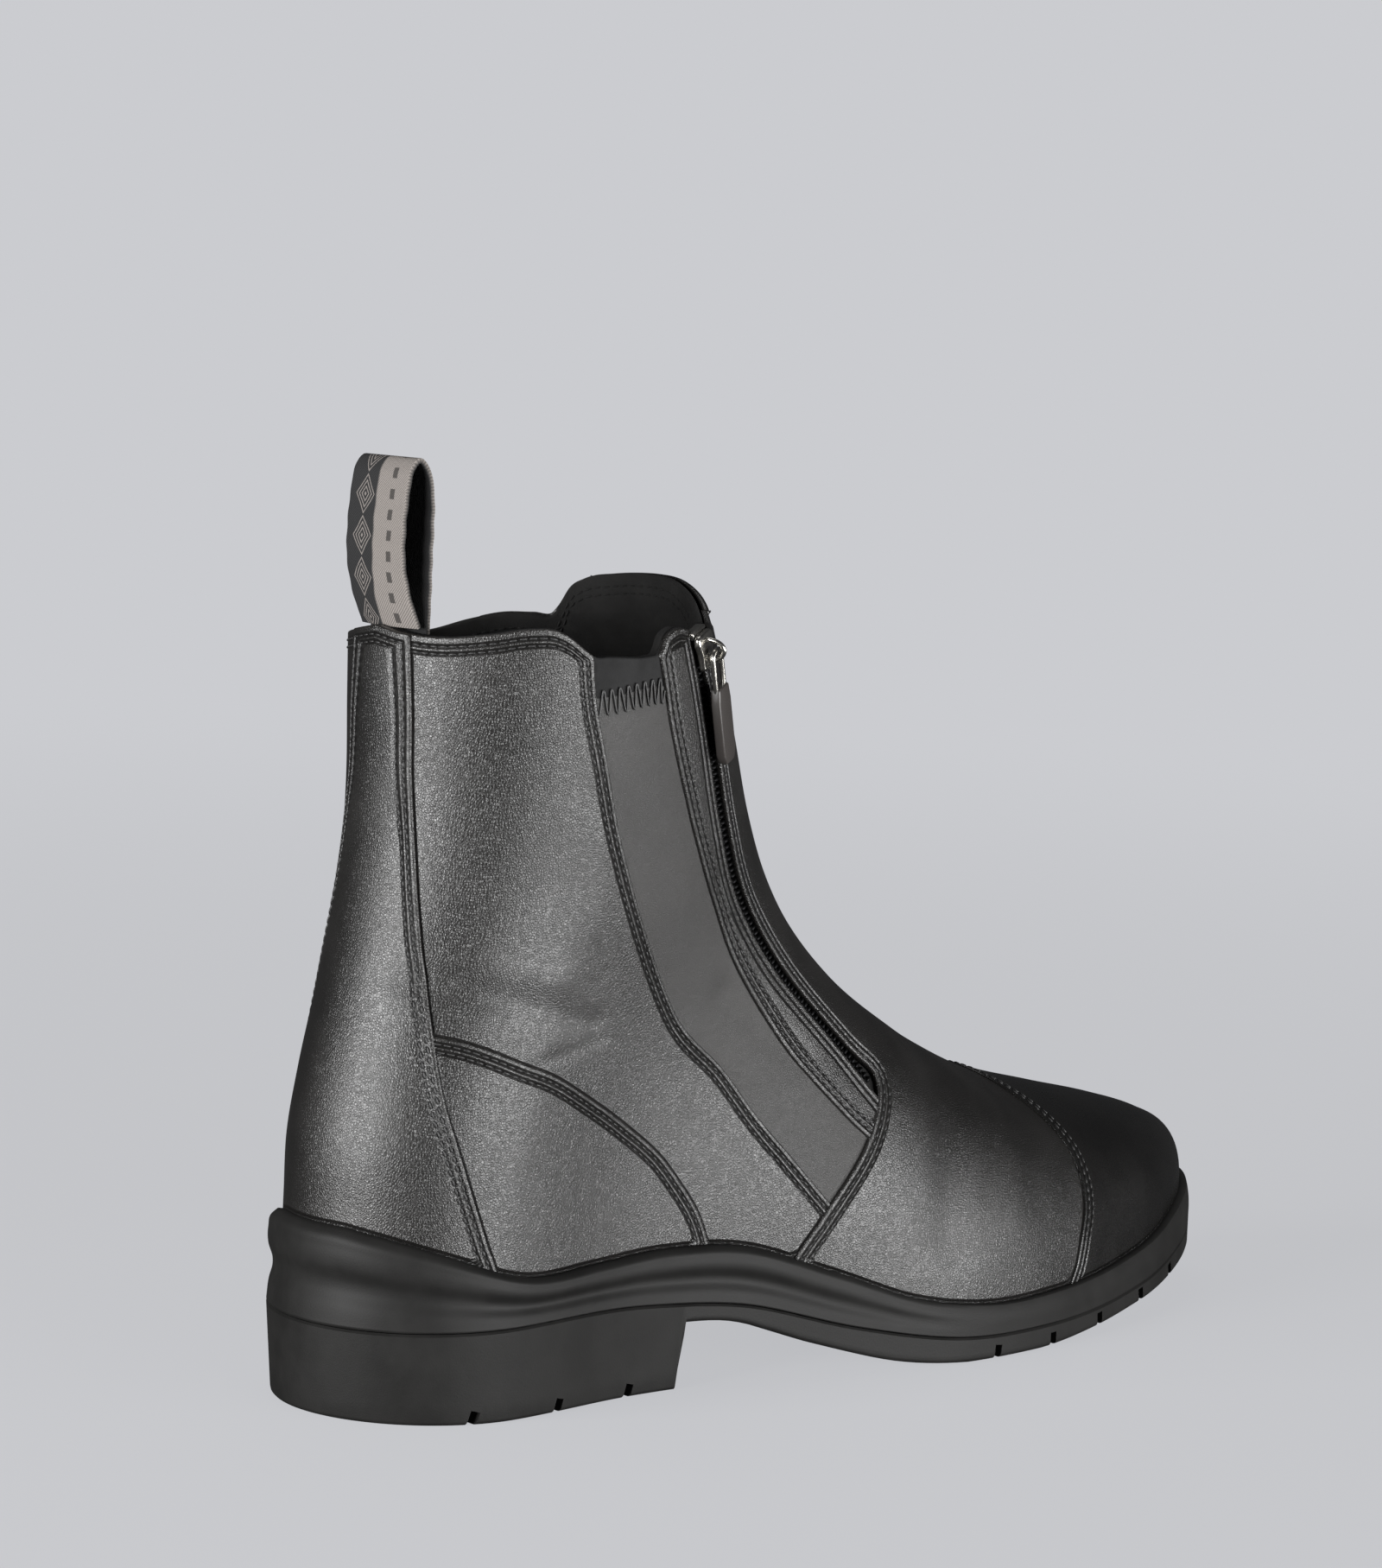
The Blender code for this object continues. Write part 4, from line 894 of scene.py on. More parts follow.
class Graph:
    """The nodes of one material round its Principled shader."""

    def __init__(self, name, colour, roughness, metallic=0.0):
        self.material = bpy.data.materials.new(name)
        self.material.use_nodes = True
        self.tree = self.material.node_tree
        self.shader = self.tree.nodes["Principled BSDF"]
        self.constant("Base Color", (*colour, 1.0))
        self.constant("Roughness", roughness)
        self.constant("Metallic", metallic)
        self.place = self.node("ShaderNodeTexCoord").out("Object")

    def constant(self, name, value):
        self.shader.inputs[name].default_value = value

    def node(self, kind, settings=None, inputs=None):
        node = self.tree.nodes.new(kind)
        for name, value in (settings or {}).items():
            setattr(node, name, value)
        for name, value in (inputs or {}).items():
            self.feed(node.inputs[name], value)
        return Node(self, node)

    def feed(self, socket, value):
        if isinstance(value, Value):
            value = value.socket
        if isinstance(value, bpy.types.NodeSocket):
            self.tree.links.new(value, socket)
        else:
            socket.default_value = value

    def maths(self, operation, *values):
        inputs = dict(enumerate(values))
        return self.node("ShaderNodeMath", {"operation": operation}, inputs).value("Value")

    def noise(self, size, detail=2.0, rough=0.5, vector=None):
        """Soft noise from 0 to 1 whose grains are about one size across, in metres."""
        return self.node("ShaderNodeTexNoise", {}, {
            "Vector": vector or self.place, "Scale": 1 / size, "Detail": detail, "Roughness": rough,
        }).value(0)

    def cells(self, size, feature="F1", vector=None):
        return self.node("ShaderNodeTexVoronoi", {"feature": feature}, {
            "Vector": vector or self.place, "Scale": 1 / size,
        }).value("Distance")

    def field(self, name):
        return self.node("ShaderNodeAttribute", {"attribute_name": name}).value("Fac")

    def mix(self, factor, first, second):
        mixed = self.node("ShaderNodeMix", {"data_type": "RGBA"}, {0: factor})
        self.feed(mixed.node.inputs[6], (*first, 1.0) if isinstance(first, tuple) else first)
        self.feed(mixed.node.inputs[7], (*second, 1.0) if isinstance(second, tuple) else second)
        return mixed.node.outputs[2]

    def bump(self, height, depth, under=None):
        inputs = {"Height": height, "Distance": depth, "Strength": 1.0}
        if under is not None:
            inputs["Normal"] = under
        return self.node("ShaderNodeBump", {}, inputs).out("Normal")

    def finish(self, colour=None, roughness=None, normal=None):
        for name, value in (("Base Color", colour), ("Roughness", roughness), ("Normal", normal)):
            if value is not None:
                self.feed(self.shader.inputs[name], value)
        return self.material


def tinted(colour, factor):
    return tuple(min(part * factor, 1.0) for part in colour)


def leather_material(name, colour, roughness, grain, depth, rows=(FIRST_ROW, SECOND_ROW)):
    """Fine grained leather: pebbles, pores, soft cloudy wear, a painted highlight along each panel's edge,
    and a groove under each row of stitches with painted shade in it.
    """
    graph = Graph(name, colour, roughness)
    pebbles = graph.cells(grain, "DISTANCE_TO_EDGE")
    fine = graph.noise(grain * 0.45, 3.0, 0.6)
    clouds = graph.noise(0.018, 3.0, 0.5)
    edge = graph.field("edge")
    groove = 0.0
    for row in rows:
        groove = edge.near(row, 0.0007) + groove
    # Painted highlight: the leather is lightened, and made a little glossier, within 0.4 mm of a panel's
    # border, where its rounded edge catches light
    edge_highlight = edge.step(0.0004, 0.0)
    skin = pebbles.step(0.0, 0.28) * 0.6 + fine * 0.5
    tone = graph.mix(clouds.step(0.3, 0.7), tinted(colour, 0.8), tinted(colour, 1.25))
    tone = graph.mix(edge_highlight * 0.5, tone, tinted(colour, 2.2))
    # Painted shade: the groove under each row of stitches is darkened
    if rows:
        tone = graph.mix(groove * 0.7, tone, tinted(colour, 0.3))
    gloss = roughness + (clouds - 0.5) * 0.14 + (1 - pebbles.step(0.0, 0.2)) * 0.08 - edge_highlight * 0.06
    normal = graph.bump(skin, depth)
    if rows:
        normal = graph.bump(groove * -1.0, 0.00045, normal)
    return graph.finish(tone, gloss, normal)


def rubber_material(name, colour, roughness):
    graph = Graph(name, colour, roughness)
    fine = graph.noise(0.0004, 3.0, 0.6)
    clouds = graph.noise(0.012, 3.0, 0.6)
    tone = graph.mix(clouds.step(0.3, 0.7), tinted(colour, 0.85), tinted(colour, 1.2))
    gloss = roughness + (clouds - 0.5) * 0.16
    graph.constant("Specular IOR Level", 0.13)
    return graph.finish(tone, gloss, graph.bump(fine, 0.00003))


def suede_material(name, colour, roughness, rows=()):
    """Short nap, for the lining, the front's inner face and the gore's elastic edge."""
    graph = Graph(name, colour, roughness)
    nap = graph.noise(0.0005, 4.0, 0.7)
    patches = graph.noise(0.006, 3.0, 0.6)
    edge = graph.field("edge")
    tone = graph.mix(patches.step(0.25, 0.75), tinted(colour, 0.7), tinted(colour, 1.5))
    normal = graph.bump(nap, 0.00016)
    groove = 0.0
    for row in rows:
        groove = edge.near(row, 0.0006) + groove
    if rows:
        normal = graph.bump(groove * -1.0, 0.0003, normal)
    graph.constant("Specular IOR Level", 0.25)
    return graph.finish(tone, roughness, normal)


def thread_material(name, colour):
    graph = Graph(name, colour, 0.5)
    twist = graph.noise(0.0003, 2.0, 0.5)
    tone = graph.mix(twist, tinted(colour, 0.7), tinted(colour, 1.6))
    return graph.finish(tone, None, graph.bump(twist, 0.00004))


def weave_material(name, colour, size):
    """Plain weave for the zip's tape."""
    graph = Graph(name, colour, 0.8)
    weft = graph.node("ShaderNodeTexWave", {"bands_direction": "Z"}, {
        "Vector": graph.place, "Scale": 0.31 / size, "Distortion": 0.6,
    }).value("Fac")
    fuzz = graph.noise(size * 0.6, 2.0, 0.6)
    tone = graph.mix(fuzz, tinted(colour, 0.6), tinted(colour, 1.7))
    return graph.finish(tone, None, graph.bump(weft * 0.7 + fuzz * 0.5, 0.00008))


def metal_material(name, colour, roughness):
    graph = Graph(name, colour, roughness, 1.0)
    brushed = graph.noise(0.0006, 3.0, 0.6)
    tone = graph.mix(graph.noise(0.002), tinted(colour, 0.75), tinted(colour, 1.1))
    return graph.finish(tone, roughness + brushed * 0.12, graph.bump(brushed, 0.00001))


def webbing_material(name, black, taupe):
    """Twill webbing: one half black with light nested lozenges, the other taupe with small dark dashes."""
    graph = Graph(name, taupe, 0.85)
    across, run = graph.field("across"), graph.field("run")
    twill = ((run * 9000.0 + across * 180.0).join("SINE") + 1) * 0.5
    ribs = ((across * 240.0).join("SINE") + 1) * 0.5
    half = across.step(0.50, 0.54)
    cell = (run / LOZENGE + 0.3).join("FRACT")
    diamond = (cell - 0.5).join("ABSOLUTE") * 1.7 + (across - 0.72).join("ABSOLUTE") * 5.0
    rings = (diamond * 26.0).join("SINE").step(0.25, 0.55) * diamond.step(0.86, 0.80)
    beat = (run / DASH).join("FRACT").near(0.5, 0.5).step(0.45, 0.55)
    dash = beat * across.near(0.24, 0.05).step(0.1, 0.3)
    ground = graph.mix(twill, tinted(taupe, 0.60), tinted(taupe, 1.25))
    ground = graph.mix(dash * 0.85, ground, tinted(taupe, 0.12))
    dark = graph.mix(twill, tinted(black, 0.6), tinted(black, 1.8))
    dark = graph.mix(rings * half, dark, tinted(taupe, 0.9))
    tone = graph.mix(half, ground, dark)
    inner = graph.field("inner")
    tone = graph.mix(inner, tone, tinted(black, 0.7))
    height = twill * 0.6 + ribs * 0.3 + rings * 0.4
    graph.constant("Specular IOR Level", 0.3)
    return graph.finish(tone, None, graph.bump(height, 0.00012))


# Repeats along a path


class Tree:
    """A Geometry Nodes tree built in code, on one object."""

    def __init__(self, name, sizes):
        self.tree = bpy.data.node_groups.new(name, "GeometryNodeTree")
        face = self.tree.interface
        face.new_socket("Geometry", in_out="INPUT", socket_type="NodeSocketGeometry")
        self.sizes = {}
        for label, value in sizes.items():
            socket = face.new_socket(label, in_out="INPUT", socket_type="NodeSocketFloat")
            self.sizes[label] = (socket.identifier, value)
        face.new_socket("Geometry", in_out="OUTPUT", socket_type="NodeSocketGeometry")
        self.input = self.tree.nodes.new("NodeGroupInput")
        self.output = self.tree.nodes.new("NodeGroupOutput")

    def node(self, kind, settings=None, inputs=None):
        node = self.tree.nodes.new(kind)
        for name, value in (settings or {}).items():
            setattr(node, name, value)
        for name, value in (inputs or {}).items():
            if isinstance(value, bpy.types.NodeSocket):
                self.tree.links.new(value, node.inputs[name])
            else:
                node.inputs[name].default_value = value
        return node

    def scaled(self, socket, factor):
        return self.node("ShaderNodeMath", {"operation": "MULTIPLY"}, {0: socket, 1: factor}).outputs[0]

    def close(self, geometry, material):
        real = self.node("GeometryNodeRealizeInstances", None, {"Geometry": geometry}).outputs[0]
        painted = self.node("GeometryNodeSetMaterial", None, {"Geometry": real, "Material": material})
        self.tree.links.new(painted.outputs[0], self.output.inputs[0])

    def make(self, name, guide):
        """The tree's result on a guide as a plain mesh; the guide goes."""
        modifier = guide.modifiers.new("repeat", "NODES")
        modifier.node_group = self.tree
        for identifier, value in self.sizes.values():
            modifier[identifier] = value
        bpy.context.view_layer.update()
        evaluated = guide.evaluated_get(bpy.context.evaluated_depsgraph_get())
        mesh = bpy.data.meshes.new_from_object(evaluated)
        mesh.name = name
        mesh.shade_smooth()
        item = bpy.data.objects.new(name, mesh)
        bpy.context.scene.collection.objects.link(item)
        bpy.data.objects.remove(guide, do_unlink=True)
        return item


def path_guide(runs):
    """A mesh of lines whose points carry their outward normal and their run's number."""
    points, edges, out, shift = [], [], [], []
    for number, (line, normals) in enumerate(runs):
        first = len(points)
        points += np.asarray(line).tolist()
        out += np.asarray(normals).tolist()
        shift += [float(number)] * len(line)
        edges += [(k, k + 1) for k in range(first, len(points) - 1)]
    mesh = bpy.data.meshes.new("guide")
    mesh.from_pydata(points, edges, [])
    mesh.attributes.new("out", "FLOAT_VECTOR", "POINT").data.foreach_set("vector", np.ravel(out))
    mesh.attributes.new("row", "FLOAT", "POINT").data.foreach_set("value", shift)
    guide = bpy.data.objects.new("guide", mesh)
    bpy.context.scene.collection.objects.link(guide)
    return guide


def along_path(name, runs, material, pitch, length, width, height, sides=6, rings=4):
    """Small rounded beads, one per pitch, lying along lines on the surface."""
    tree = Tree(name, {"Pitch": pitch, "Length": length, "Width": width, "Height": height})
    get = tree.input.outputs
    curve = tree.node("GeometryNodeMeshToCurve", None, {"Mesh": get["Geometry"]}).outputs[0]
    even = tree.node("GeometryNodeResampleCurve", None, {"Curve": curve})
    set_mode(even, "Length")
    tree.tree.links.new(get["Pitch"], even.inputs["Length"])
    bead = tree.node("GeometryNodeMeshUVSphere", None, {"Segments": sides, "Rings": rings, "Radius": 0.5})
    size = tree.node("ShaderNodeCombineXYZ", None, {
        "X": get["Width"], "Y": get["Height"], "Z": get["Length"],
    })
    shaped = tree.node("GeometryNodeTransform", None, {"Geometry": bead.outputs[0]})
    tree.tree.links.new(size.outputs[0], shaped.inputs["Scale"])
    tangent = tree.node("GeometryNodeInputTangent").outputs[0]
    out = tree.node("GeometryNodeInputNamedAttribute", {"data_type": "FLOAT_VECTOR"}, {"Name": "out"})
    first = tree.node("FunctionNodeAlignRotationToVector", {"axis": "Z"}, {"Vector": tangent})
    second = tree.node("FunctionNodeAlignRotationToVector", {"axis": "Y", "pivot_axis": "Z"}, {
        "Rotation": first.outputs[0], "Vector": out.outputs[0],
    })
    placed = tree.node("GeometryNodeInstanceOnPoints", None, {
        "Points": even.outputs[0], "Instance": shaped.outputs[0], "Rotation": second.outputs[0],
    })
    tree.close(placed.outputs[0], material)
    return tree.make(name, path_guide(runs))


def set_mode(node, mode):
    """Resample Curve's way of counting, which is a menu input or a setting by version."""
    if "Mode" in node.inputs:
        node.inputs["Mode"].default_value = mode
    else:
        node.mode = mode.upper()


def thread_path(name, runs, material, width):
    """Round thread that follows lines."""
    tree = Tree(name, {"Width": width})
    get = tree.input.outputs
    curve = tree.node("GeometryNodeMeshToCurve", None, {"Mesh": get["Geometry"]}).outputs[0]
    round_ = tree.node("GeometryNodeCurvePrimitiveCircle", None, {"Resolution": 6})
    tree.tree.links.new(tree.scaled(get["Width"], 0.5), round_.inputs["Radius"])
    tube = tree.node("GeometryNodeCurveToMesh", None, {
        "Curve": curve, "Profile Curve": round_.outputs[0], "Fill Caps": True,
    })
    tree.close(tube.outputs[0], material)
    return tree.make(name, path_guide(runs))


# Shared helpers of the operators


SHELF = {}


def last_grid():
    if "last" not in SHELF:
        SHELF["last"] = Last()
    return SHELF["last"]


def finish_named(name):
    return SHELF["finishes"][name]


def take_place(item, node, body="boot"):
    """A made piece stands for a node and rides on its body."""
    if node:
        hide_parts(*([node] if isinstance(node, str) else node))
    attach(item, body)
    return item


def ring_solid(name, rings, material, fields=None):
    """A closed solid from rings stacked end to end, closed across the foot at both ends."""
    count = len(rings[0])
    faces = []
    for row in range(len(rings) - 1):
        first = row * count
        for k in range(count):
            n = (k + 1) % count
            faces.append([first + k, first + n, first + count + n, first + count + k])
    half = count // 2
    for first, turned in ((0, True), ((len(rings) - 1) * count, False)):
        for k in range(half):
            loop = [first + half - k, first + (half + k) % count, first + (half + k + 1) % count,
                    first + half - k - 1]
            loop = list(dict.fromkeys(loop))
            faces.append(loop[::-1] if turned else loop)
    item = new_mesh(name, np.concatenate(rings), faces, material, fields)
    outward_faces(item)
    return item


def outward_faces(item):
    shape = bmesh.new()
    shape.from_mesh(item.data)
    bmesh.ops.remove_doubles(shape, verts=shape.verts, dist=1e-6)
    bmesh.ops.recalc_face_normals(shape, faces=shape.faces)
    shape.to_mesh(item.data)
    shape.free()


def applied(item):
    """The piece with its modifiers worked into its mesh and its place too."""
    bpy.context.view_layer.update()
    evaluated = item.evaluated_get(bpy.context.evaluated_depsgraph_get())
    mesh = bpy.data.meshes.new_from_object(evaluated)
    mesh.transform(item.matrix_world)
    item.modifiers.clear()
    item.data = mesh
    item.matrix_world = Matrix.Identity(4)
    return item


def heel_breast():
    return HEEL_BACK + HEEL_LENGTH


def sole_ring(turns, outward, height):
    """A closed ring round the sole: the last's outline moved outwards, at a height given by the place."""
    base = surface(0.0, turns)
    step = 0.004
    run = surface(0.0, turns + step) - surface(0.0, turns - step)
    normal = np.stack((run[:, 1], -run[:, 0]), -1)
    normal /= np.linalg.norm(normal, axis=-1, keepdims=True)
    ring = base.copy()
    ring[:, :2] += normal * np.asarray(outward).reshape(-1, 1)
    ring[:, 2] = height(base[:, 0])
    return ring


def tread_height(x):
    """Underside of the outsole: flat under the heel, stepped up at its breast, flat again at the ball."""
    arch = np.maximum(column(ARCH, along(x), 1), 0.0) * ARCH_HEIGHT
    return arch * np.clip((x - heel_breast()) / BREAST_SLOPE, 0.0, 1.0)


def sole_turns(count=300):
    """Even turns round the sole, with close ones at the heel's breast."""
    even = np.linspace(0.0, 1.0, count // 2 + 1)
    heel, toe = surface(0.0, 1.0)[0], surface(0.0, 0.0)[0]
    breast = [
        math.acos(2 * (heel_breast() + BREAST_SLOPE * share - heel) / (toe - heel) - 1) / math.pi
        for share in (0.0, 0.25, 0.5, 0.75, 1.0)
    ]
    near = np.min([abs(even - place) for place in breast], axis=0) < 0.002
    half = np.array(sorted(list(even[~near]) + breast))
    return np.concatenate((-half[::-1][:-1], half[:-1]))


def slider_frame():
    """Place of the slider on the last: across the zip, up the zip and outwards."""
    way = SLIDER_WAY
    turn = float(zip_line(way))
    place = Vector(surface(way, turn))
    up = (Vector(surface(way + 0.01, turn)) - place).normalized()
    across = (Vector(surface(way, turn + 0.004)) - Vector(surface(way, turn - 0.004))).normalized()
    out = across.cross(up).normalized()
    across = up.cross(out).normalized()
    placed = Matrix((across, up, out)).transposed().to_4x4()
    placed.translation = place
    return placed


def outline_block(name, outline, low, high, placed, bevel, material):
    """A flat block of an outline in a frame, between two heights, with rounded edges."""
    count = len(outline)
    points = [(x, y, z) for z in (low, high) for x, y in outline]
    faces = [tuple(reversed(range(count))), tuple(range(count, 2 * count))]
    faces += [(k, (k + 1) % count, count + (k + 1) % count, count + k) for k in range(count)]
    item = new_mesh(name, points, faces, material)
    outward_faces(item)
    item.matrix_world = placed
    rounded = item.modifiers.new("round", "BEVEL")
    rounded.width = bevel
    rounded.segments = 3
    rounded.limit_method = "ANGLE"
    return applied(item)


def box_outline(half, low, high):
    return [(-half, low), (half, low), (half, high), (-half, high)]


def wire(name, points, radius, placed, closed, material):
    """A round wire along points in a frame."""
    curve = bpy.data.curves.new(name, "CURVE")
    curve.dimensions = "3D"
    curve.bevel_depth = radius
    curve.bevel_resolution = 4
    curve.use_fill_caps = not closed
    spline = curve.splines.new("POLY")
    spline.points.add(len(points) - 1)
    for point, place in zip(spline.points, points):
        point.co = (*place, 1.0)
    spline.use_cyclic_u = closed
    guide = bpy.data.objects.new(name, curve)
    bpy.context.scene.collection.objects.link(guide)
    guide.matrix_world = placed
    bpy.context.view_layer.update()
    mesh = bpy.data.meshes.new_from_object(guide.evaluated_get(bpy.context.evaluated_depsgraph_get()))
    mesh.transform(placed)
    mesh.materials.clear()
    mesh.materials.append(material)
    mesh.shade_smooth()
    bpy.data.objects.remove(guide, do_unlink=True)
    item = bpy.data.objects.new(name, mesh)
    bpy.context.scene.collection.objects.link(item)
    return item


def join(name, items):
    """Several meshes of one body as one piece."""
    whole = bmesh.new()
    for item in items:
        whole.from_mesh(item.data)
    mesh = bpy.data.meshes.new(name)
    whole.to_mesh(mesh)
    whole.free()
    mesh.materials.append(items[0].data.materials[0])
    mesh.shade_smooth()
    for item in items:
        bpy.data.objects.remove(item, do_unlink=True)
    piece = bpy.data.objects.new(name, mesh)
    bpy.context.scene.collection.objects.link(piece)
    return piece


# Settings


class BootSettings(bpy.types.PropertyGroup):
    """Colours and sizes that a user would change."""

    leather: FloatVectorProperty(
        name="Leather", description="Colour of the black leather", subtype="COLOR",
        default=(0.0072, 0.0067, 0.0063), min=0.0, max=1.0)
    cap: FloatVectorProperty(
        name="Toe cap", description="Colour of the toe cap's leather", subtype="COLOR",
        default=(0.0036, 0.0034, 0.0032), min=0.0, max=1.0)
    rubber: FloatVectorProperty(
        name="Rubber", description="Colour of the sole", subtype="COLOR",
        default=(0.0085, 0.0083, 0.0080), min=0.0, max=1.0)
    taupe: FloatVectorProperty(
        name="Webbing", description="Light colour of the pull loop", subtype="COLOR",
        default=(0.155, 0.140, 0.130), min=0.0, max=1.0)
    grain: FloatProperty(
        name="Grain", description="Size of the leather's pebbles", subtype="DISTANCE", unit="LENGTH",
        default=0.00055, min=0.0001)
    stitch_pitch: FloatProperty(
        name="Stitch pitch", description="From one stitch to the next", subtype="DISTANCE", unit="LENGTH",
        default=0.0022, min=0.0005)
    stitch_length: FloatProperty(
        name="Stitch length", description="Length of one stitch", subtype="DISTANCE", unit="LENGTH",
        default=0.0018, min=0.0003)
    thread: FloatProperty(
        name="Thread", description="Thickness of the sewing thread", subtype="DISTANCE", unit="LENGTH",
        default=0.00055, min=0.0001)
    tooth_pitch: FloatProperty(
        name="Tooth pitch", description="From one zip tooth to the next on a side", subtype="DISTANCE",
        unit="LENGTH", default=0.0015, min=0.0005)


def settings():
    return bpy.context.scene.paddock_boot


def make_finishes():
    own = settings()
    black = tuple(own.leather)
    SHELF["finishes"] = {
        "leather": leather_material("black_leather_fine", black, 0.31, own.grain, 0.00008),
        "strap": leather_material("strap_leather_fine", tinted(black, 0.9), 0.33, own.grain, 0.00007),
        "stretch": leather_material(
            "stretch_leather_smooth", tinted(black, 1.7), 0.55, own.grain * 0.8, 0.00007, ()),
        "cap": leather_material("cap_leather_smooth", tuple(own.cap), 0.26, own.grain, 0.00003),
        "rubber": rubber_material("sole_rubber_satin", tuple(own.rubber), 0.56),
        "suede": suede_material("lining_suede", (0.0060, 0.0058, 0.0056), 0.9, RAISED_ROWS),
        "elastic": suede_material("gore_elastic", (0.0090, 0.0090, 0.0092), 0.85),
        "thread": thread_material("sewing_thread", (0.0095, 0.0092, 0.0092)),
        "tape": weave_material("zip_tape", (0.010, 0.010, 0.0105), 0.0005),
        "teeth": metal_material("zip_teeth_dark", (0.012, 0.012, 0.0125), 0.45),
        "metal": metal_material("slider_metal", (0.50, 0.485, 0.45), 0.18),
        "tab": leather_material("tab_black_smooth", (0.018, 0.016, 0.015), 0.38, 0.0006, 0.00002, ()),
        "webbing": webbing_material("loop_webbing", (0.0085, 0.0085, 0.0090), tuple(own.taupe)),
        "footbed": suede_material("footbed_cloth", (0.012, 0.012, 0.0125), 0.9),
    }


# Operators


class BOOT_OT_sole(bpy.types.Operator):
    """Make the sole: the cup with its bead, and the block with its tread"""
    bl_idname = "boot.make_sole"
    bl_label = "Make sole"

    def execute(self, context):
        rubber = finish_named("rubber")
        turns = sole_turns()
        base = surface(0.0, turns)
        take_place(self.cup(turns, base, rubber), "midsole")
        take_place(self.block(turns, base, rubber), "outsole")
        return {"FINISHED"}

    def cup(self, turns, base, rubber):
        groove = 1 - blend(along(base[:, 0]), GROOVE_FADE)
        low = line_height(base[:, 0])
        high = rim_height(base[:, 0])
        rings = [
            sole_ring(turns, 0.0, lambda x: line_height(x) + LINE_GROOVE),
            sole_ring(turns, SOLE_LIP - EDGE_ROUND, lambda x: line_height(x) + LINE_GROOVE),
        ]
        for down in np.linspace(1.0, 0.0, 36):
            full = rounding(CUP_LIP + down)
            reach = (column(CUP_SIDE, down, 1) * groove + full * (1 - groove)) * SOLE_LIP
            height = low + LINE_GROOVE + (high - low - LINE_GROOVE) * (1 - down)
            rings.append(sole_ring(turns, reach, lambda x, level=height: level))
        for share in (0.35, 0.7, 1.0):
            inward = -RIM_EDGE - RIM_ROUND * share
            rings.append(sole_ring(turns, inward, lambda x, s=share: rim_height(x) - RIM_DROP * s * s))
        rings.append(sole_ring(turns, -RIM_EDGE - RIM_ROUND, floor_height))
        return ring_solid("sole_cup", rings, rubber)

    def block(self, turns, base, rubber):
        heel = ease((heel_breast() + BREAST_SLOPE - base[:, 0]) / BREAST_SLOPE)
        edge = SOLE_LIP - HEEL_TAPER * heel
        bottom = tread_height(base[:, 0])
        top = line_height(base[:, 0])
        rings = []
        for angle in np.radians((0, 30, 60, 90)):
            reach = edge - EDGE_ROUND + EDGE_ROUND * math.sin(angle)
            level = bottom + EDGE_ROUND * (1 - math.cos(angle))
            rings.append(sole_ring(turns, reach, lambda x, height=level: height))
        for share in np.linspace(0.2, 1.0, 5):
            reach = edge + (SOLE_LIP - edge) * share
            level = bottom + EDGE_ROUND + (top - bottom - EDGE_ROUND * 1.5) * share
            rings.append(sole_ring(turns, reach, lambda x, height=level: height))
        rings.append(sole_ring(turns, SOLE_LIP - EDGE_ROUND / 2, line_height))
        item = ring_solid("sole_block", rings, rubber)
        for place, tilt in NOTCHES:
            x = HEEL_BACK + place * FOOT_LENGTH
            self.cut(item, x, float(tread_height(np.array(x))), tilt)
        return item

    def cut(self, item, x, z, tilt):
        bpy.ops.mesh.primitive_cube_add(size=1.0)
        cutter = bpy.context.object
        size = Matrix.Diagonal((NOTCH_WIDTH, BALL_WIDTH * 1.6, 2 * NOTCH_DEPTH, 1.0))
        cutter.matrix_world = Matrix.Translation((x, 0.0, z)) @ Matrix.Rotation(tilt, 4, "Y") @ size
        notch = item.modifiers.new("notch", "BOOLEAN")
        notch.operation = "DIFFERENCE"
        notch.solver = "EXACT"
        notch.object = cutter
        applied(item)
        item.data.set_sharp_from_angle(angle=math.radians(35))
        bpy.data.objects.remove(cutter, do_unlink=True)


class BOOT_OT_lining(bpy.types.Operator):
    """Make the lining and the footbed's finish"""
    bl_idname = "boot.make_lining"
    bl_label = "Make lining"

    def execute(self, context):
        last = last_grid()
        item = sheet_piece("shaft_lining", last, last.slot, LINING_FACE, LINING_WALL, finish_named("suede"))
        take_place(item, "upper")
        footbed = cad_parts["insole"]
        footbed.data.materials.clear()
        footbed.data.materials.append(finish_named("footbed"))
        return {"FINISHED"}


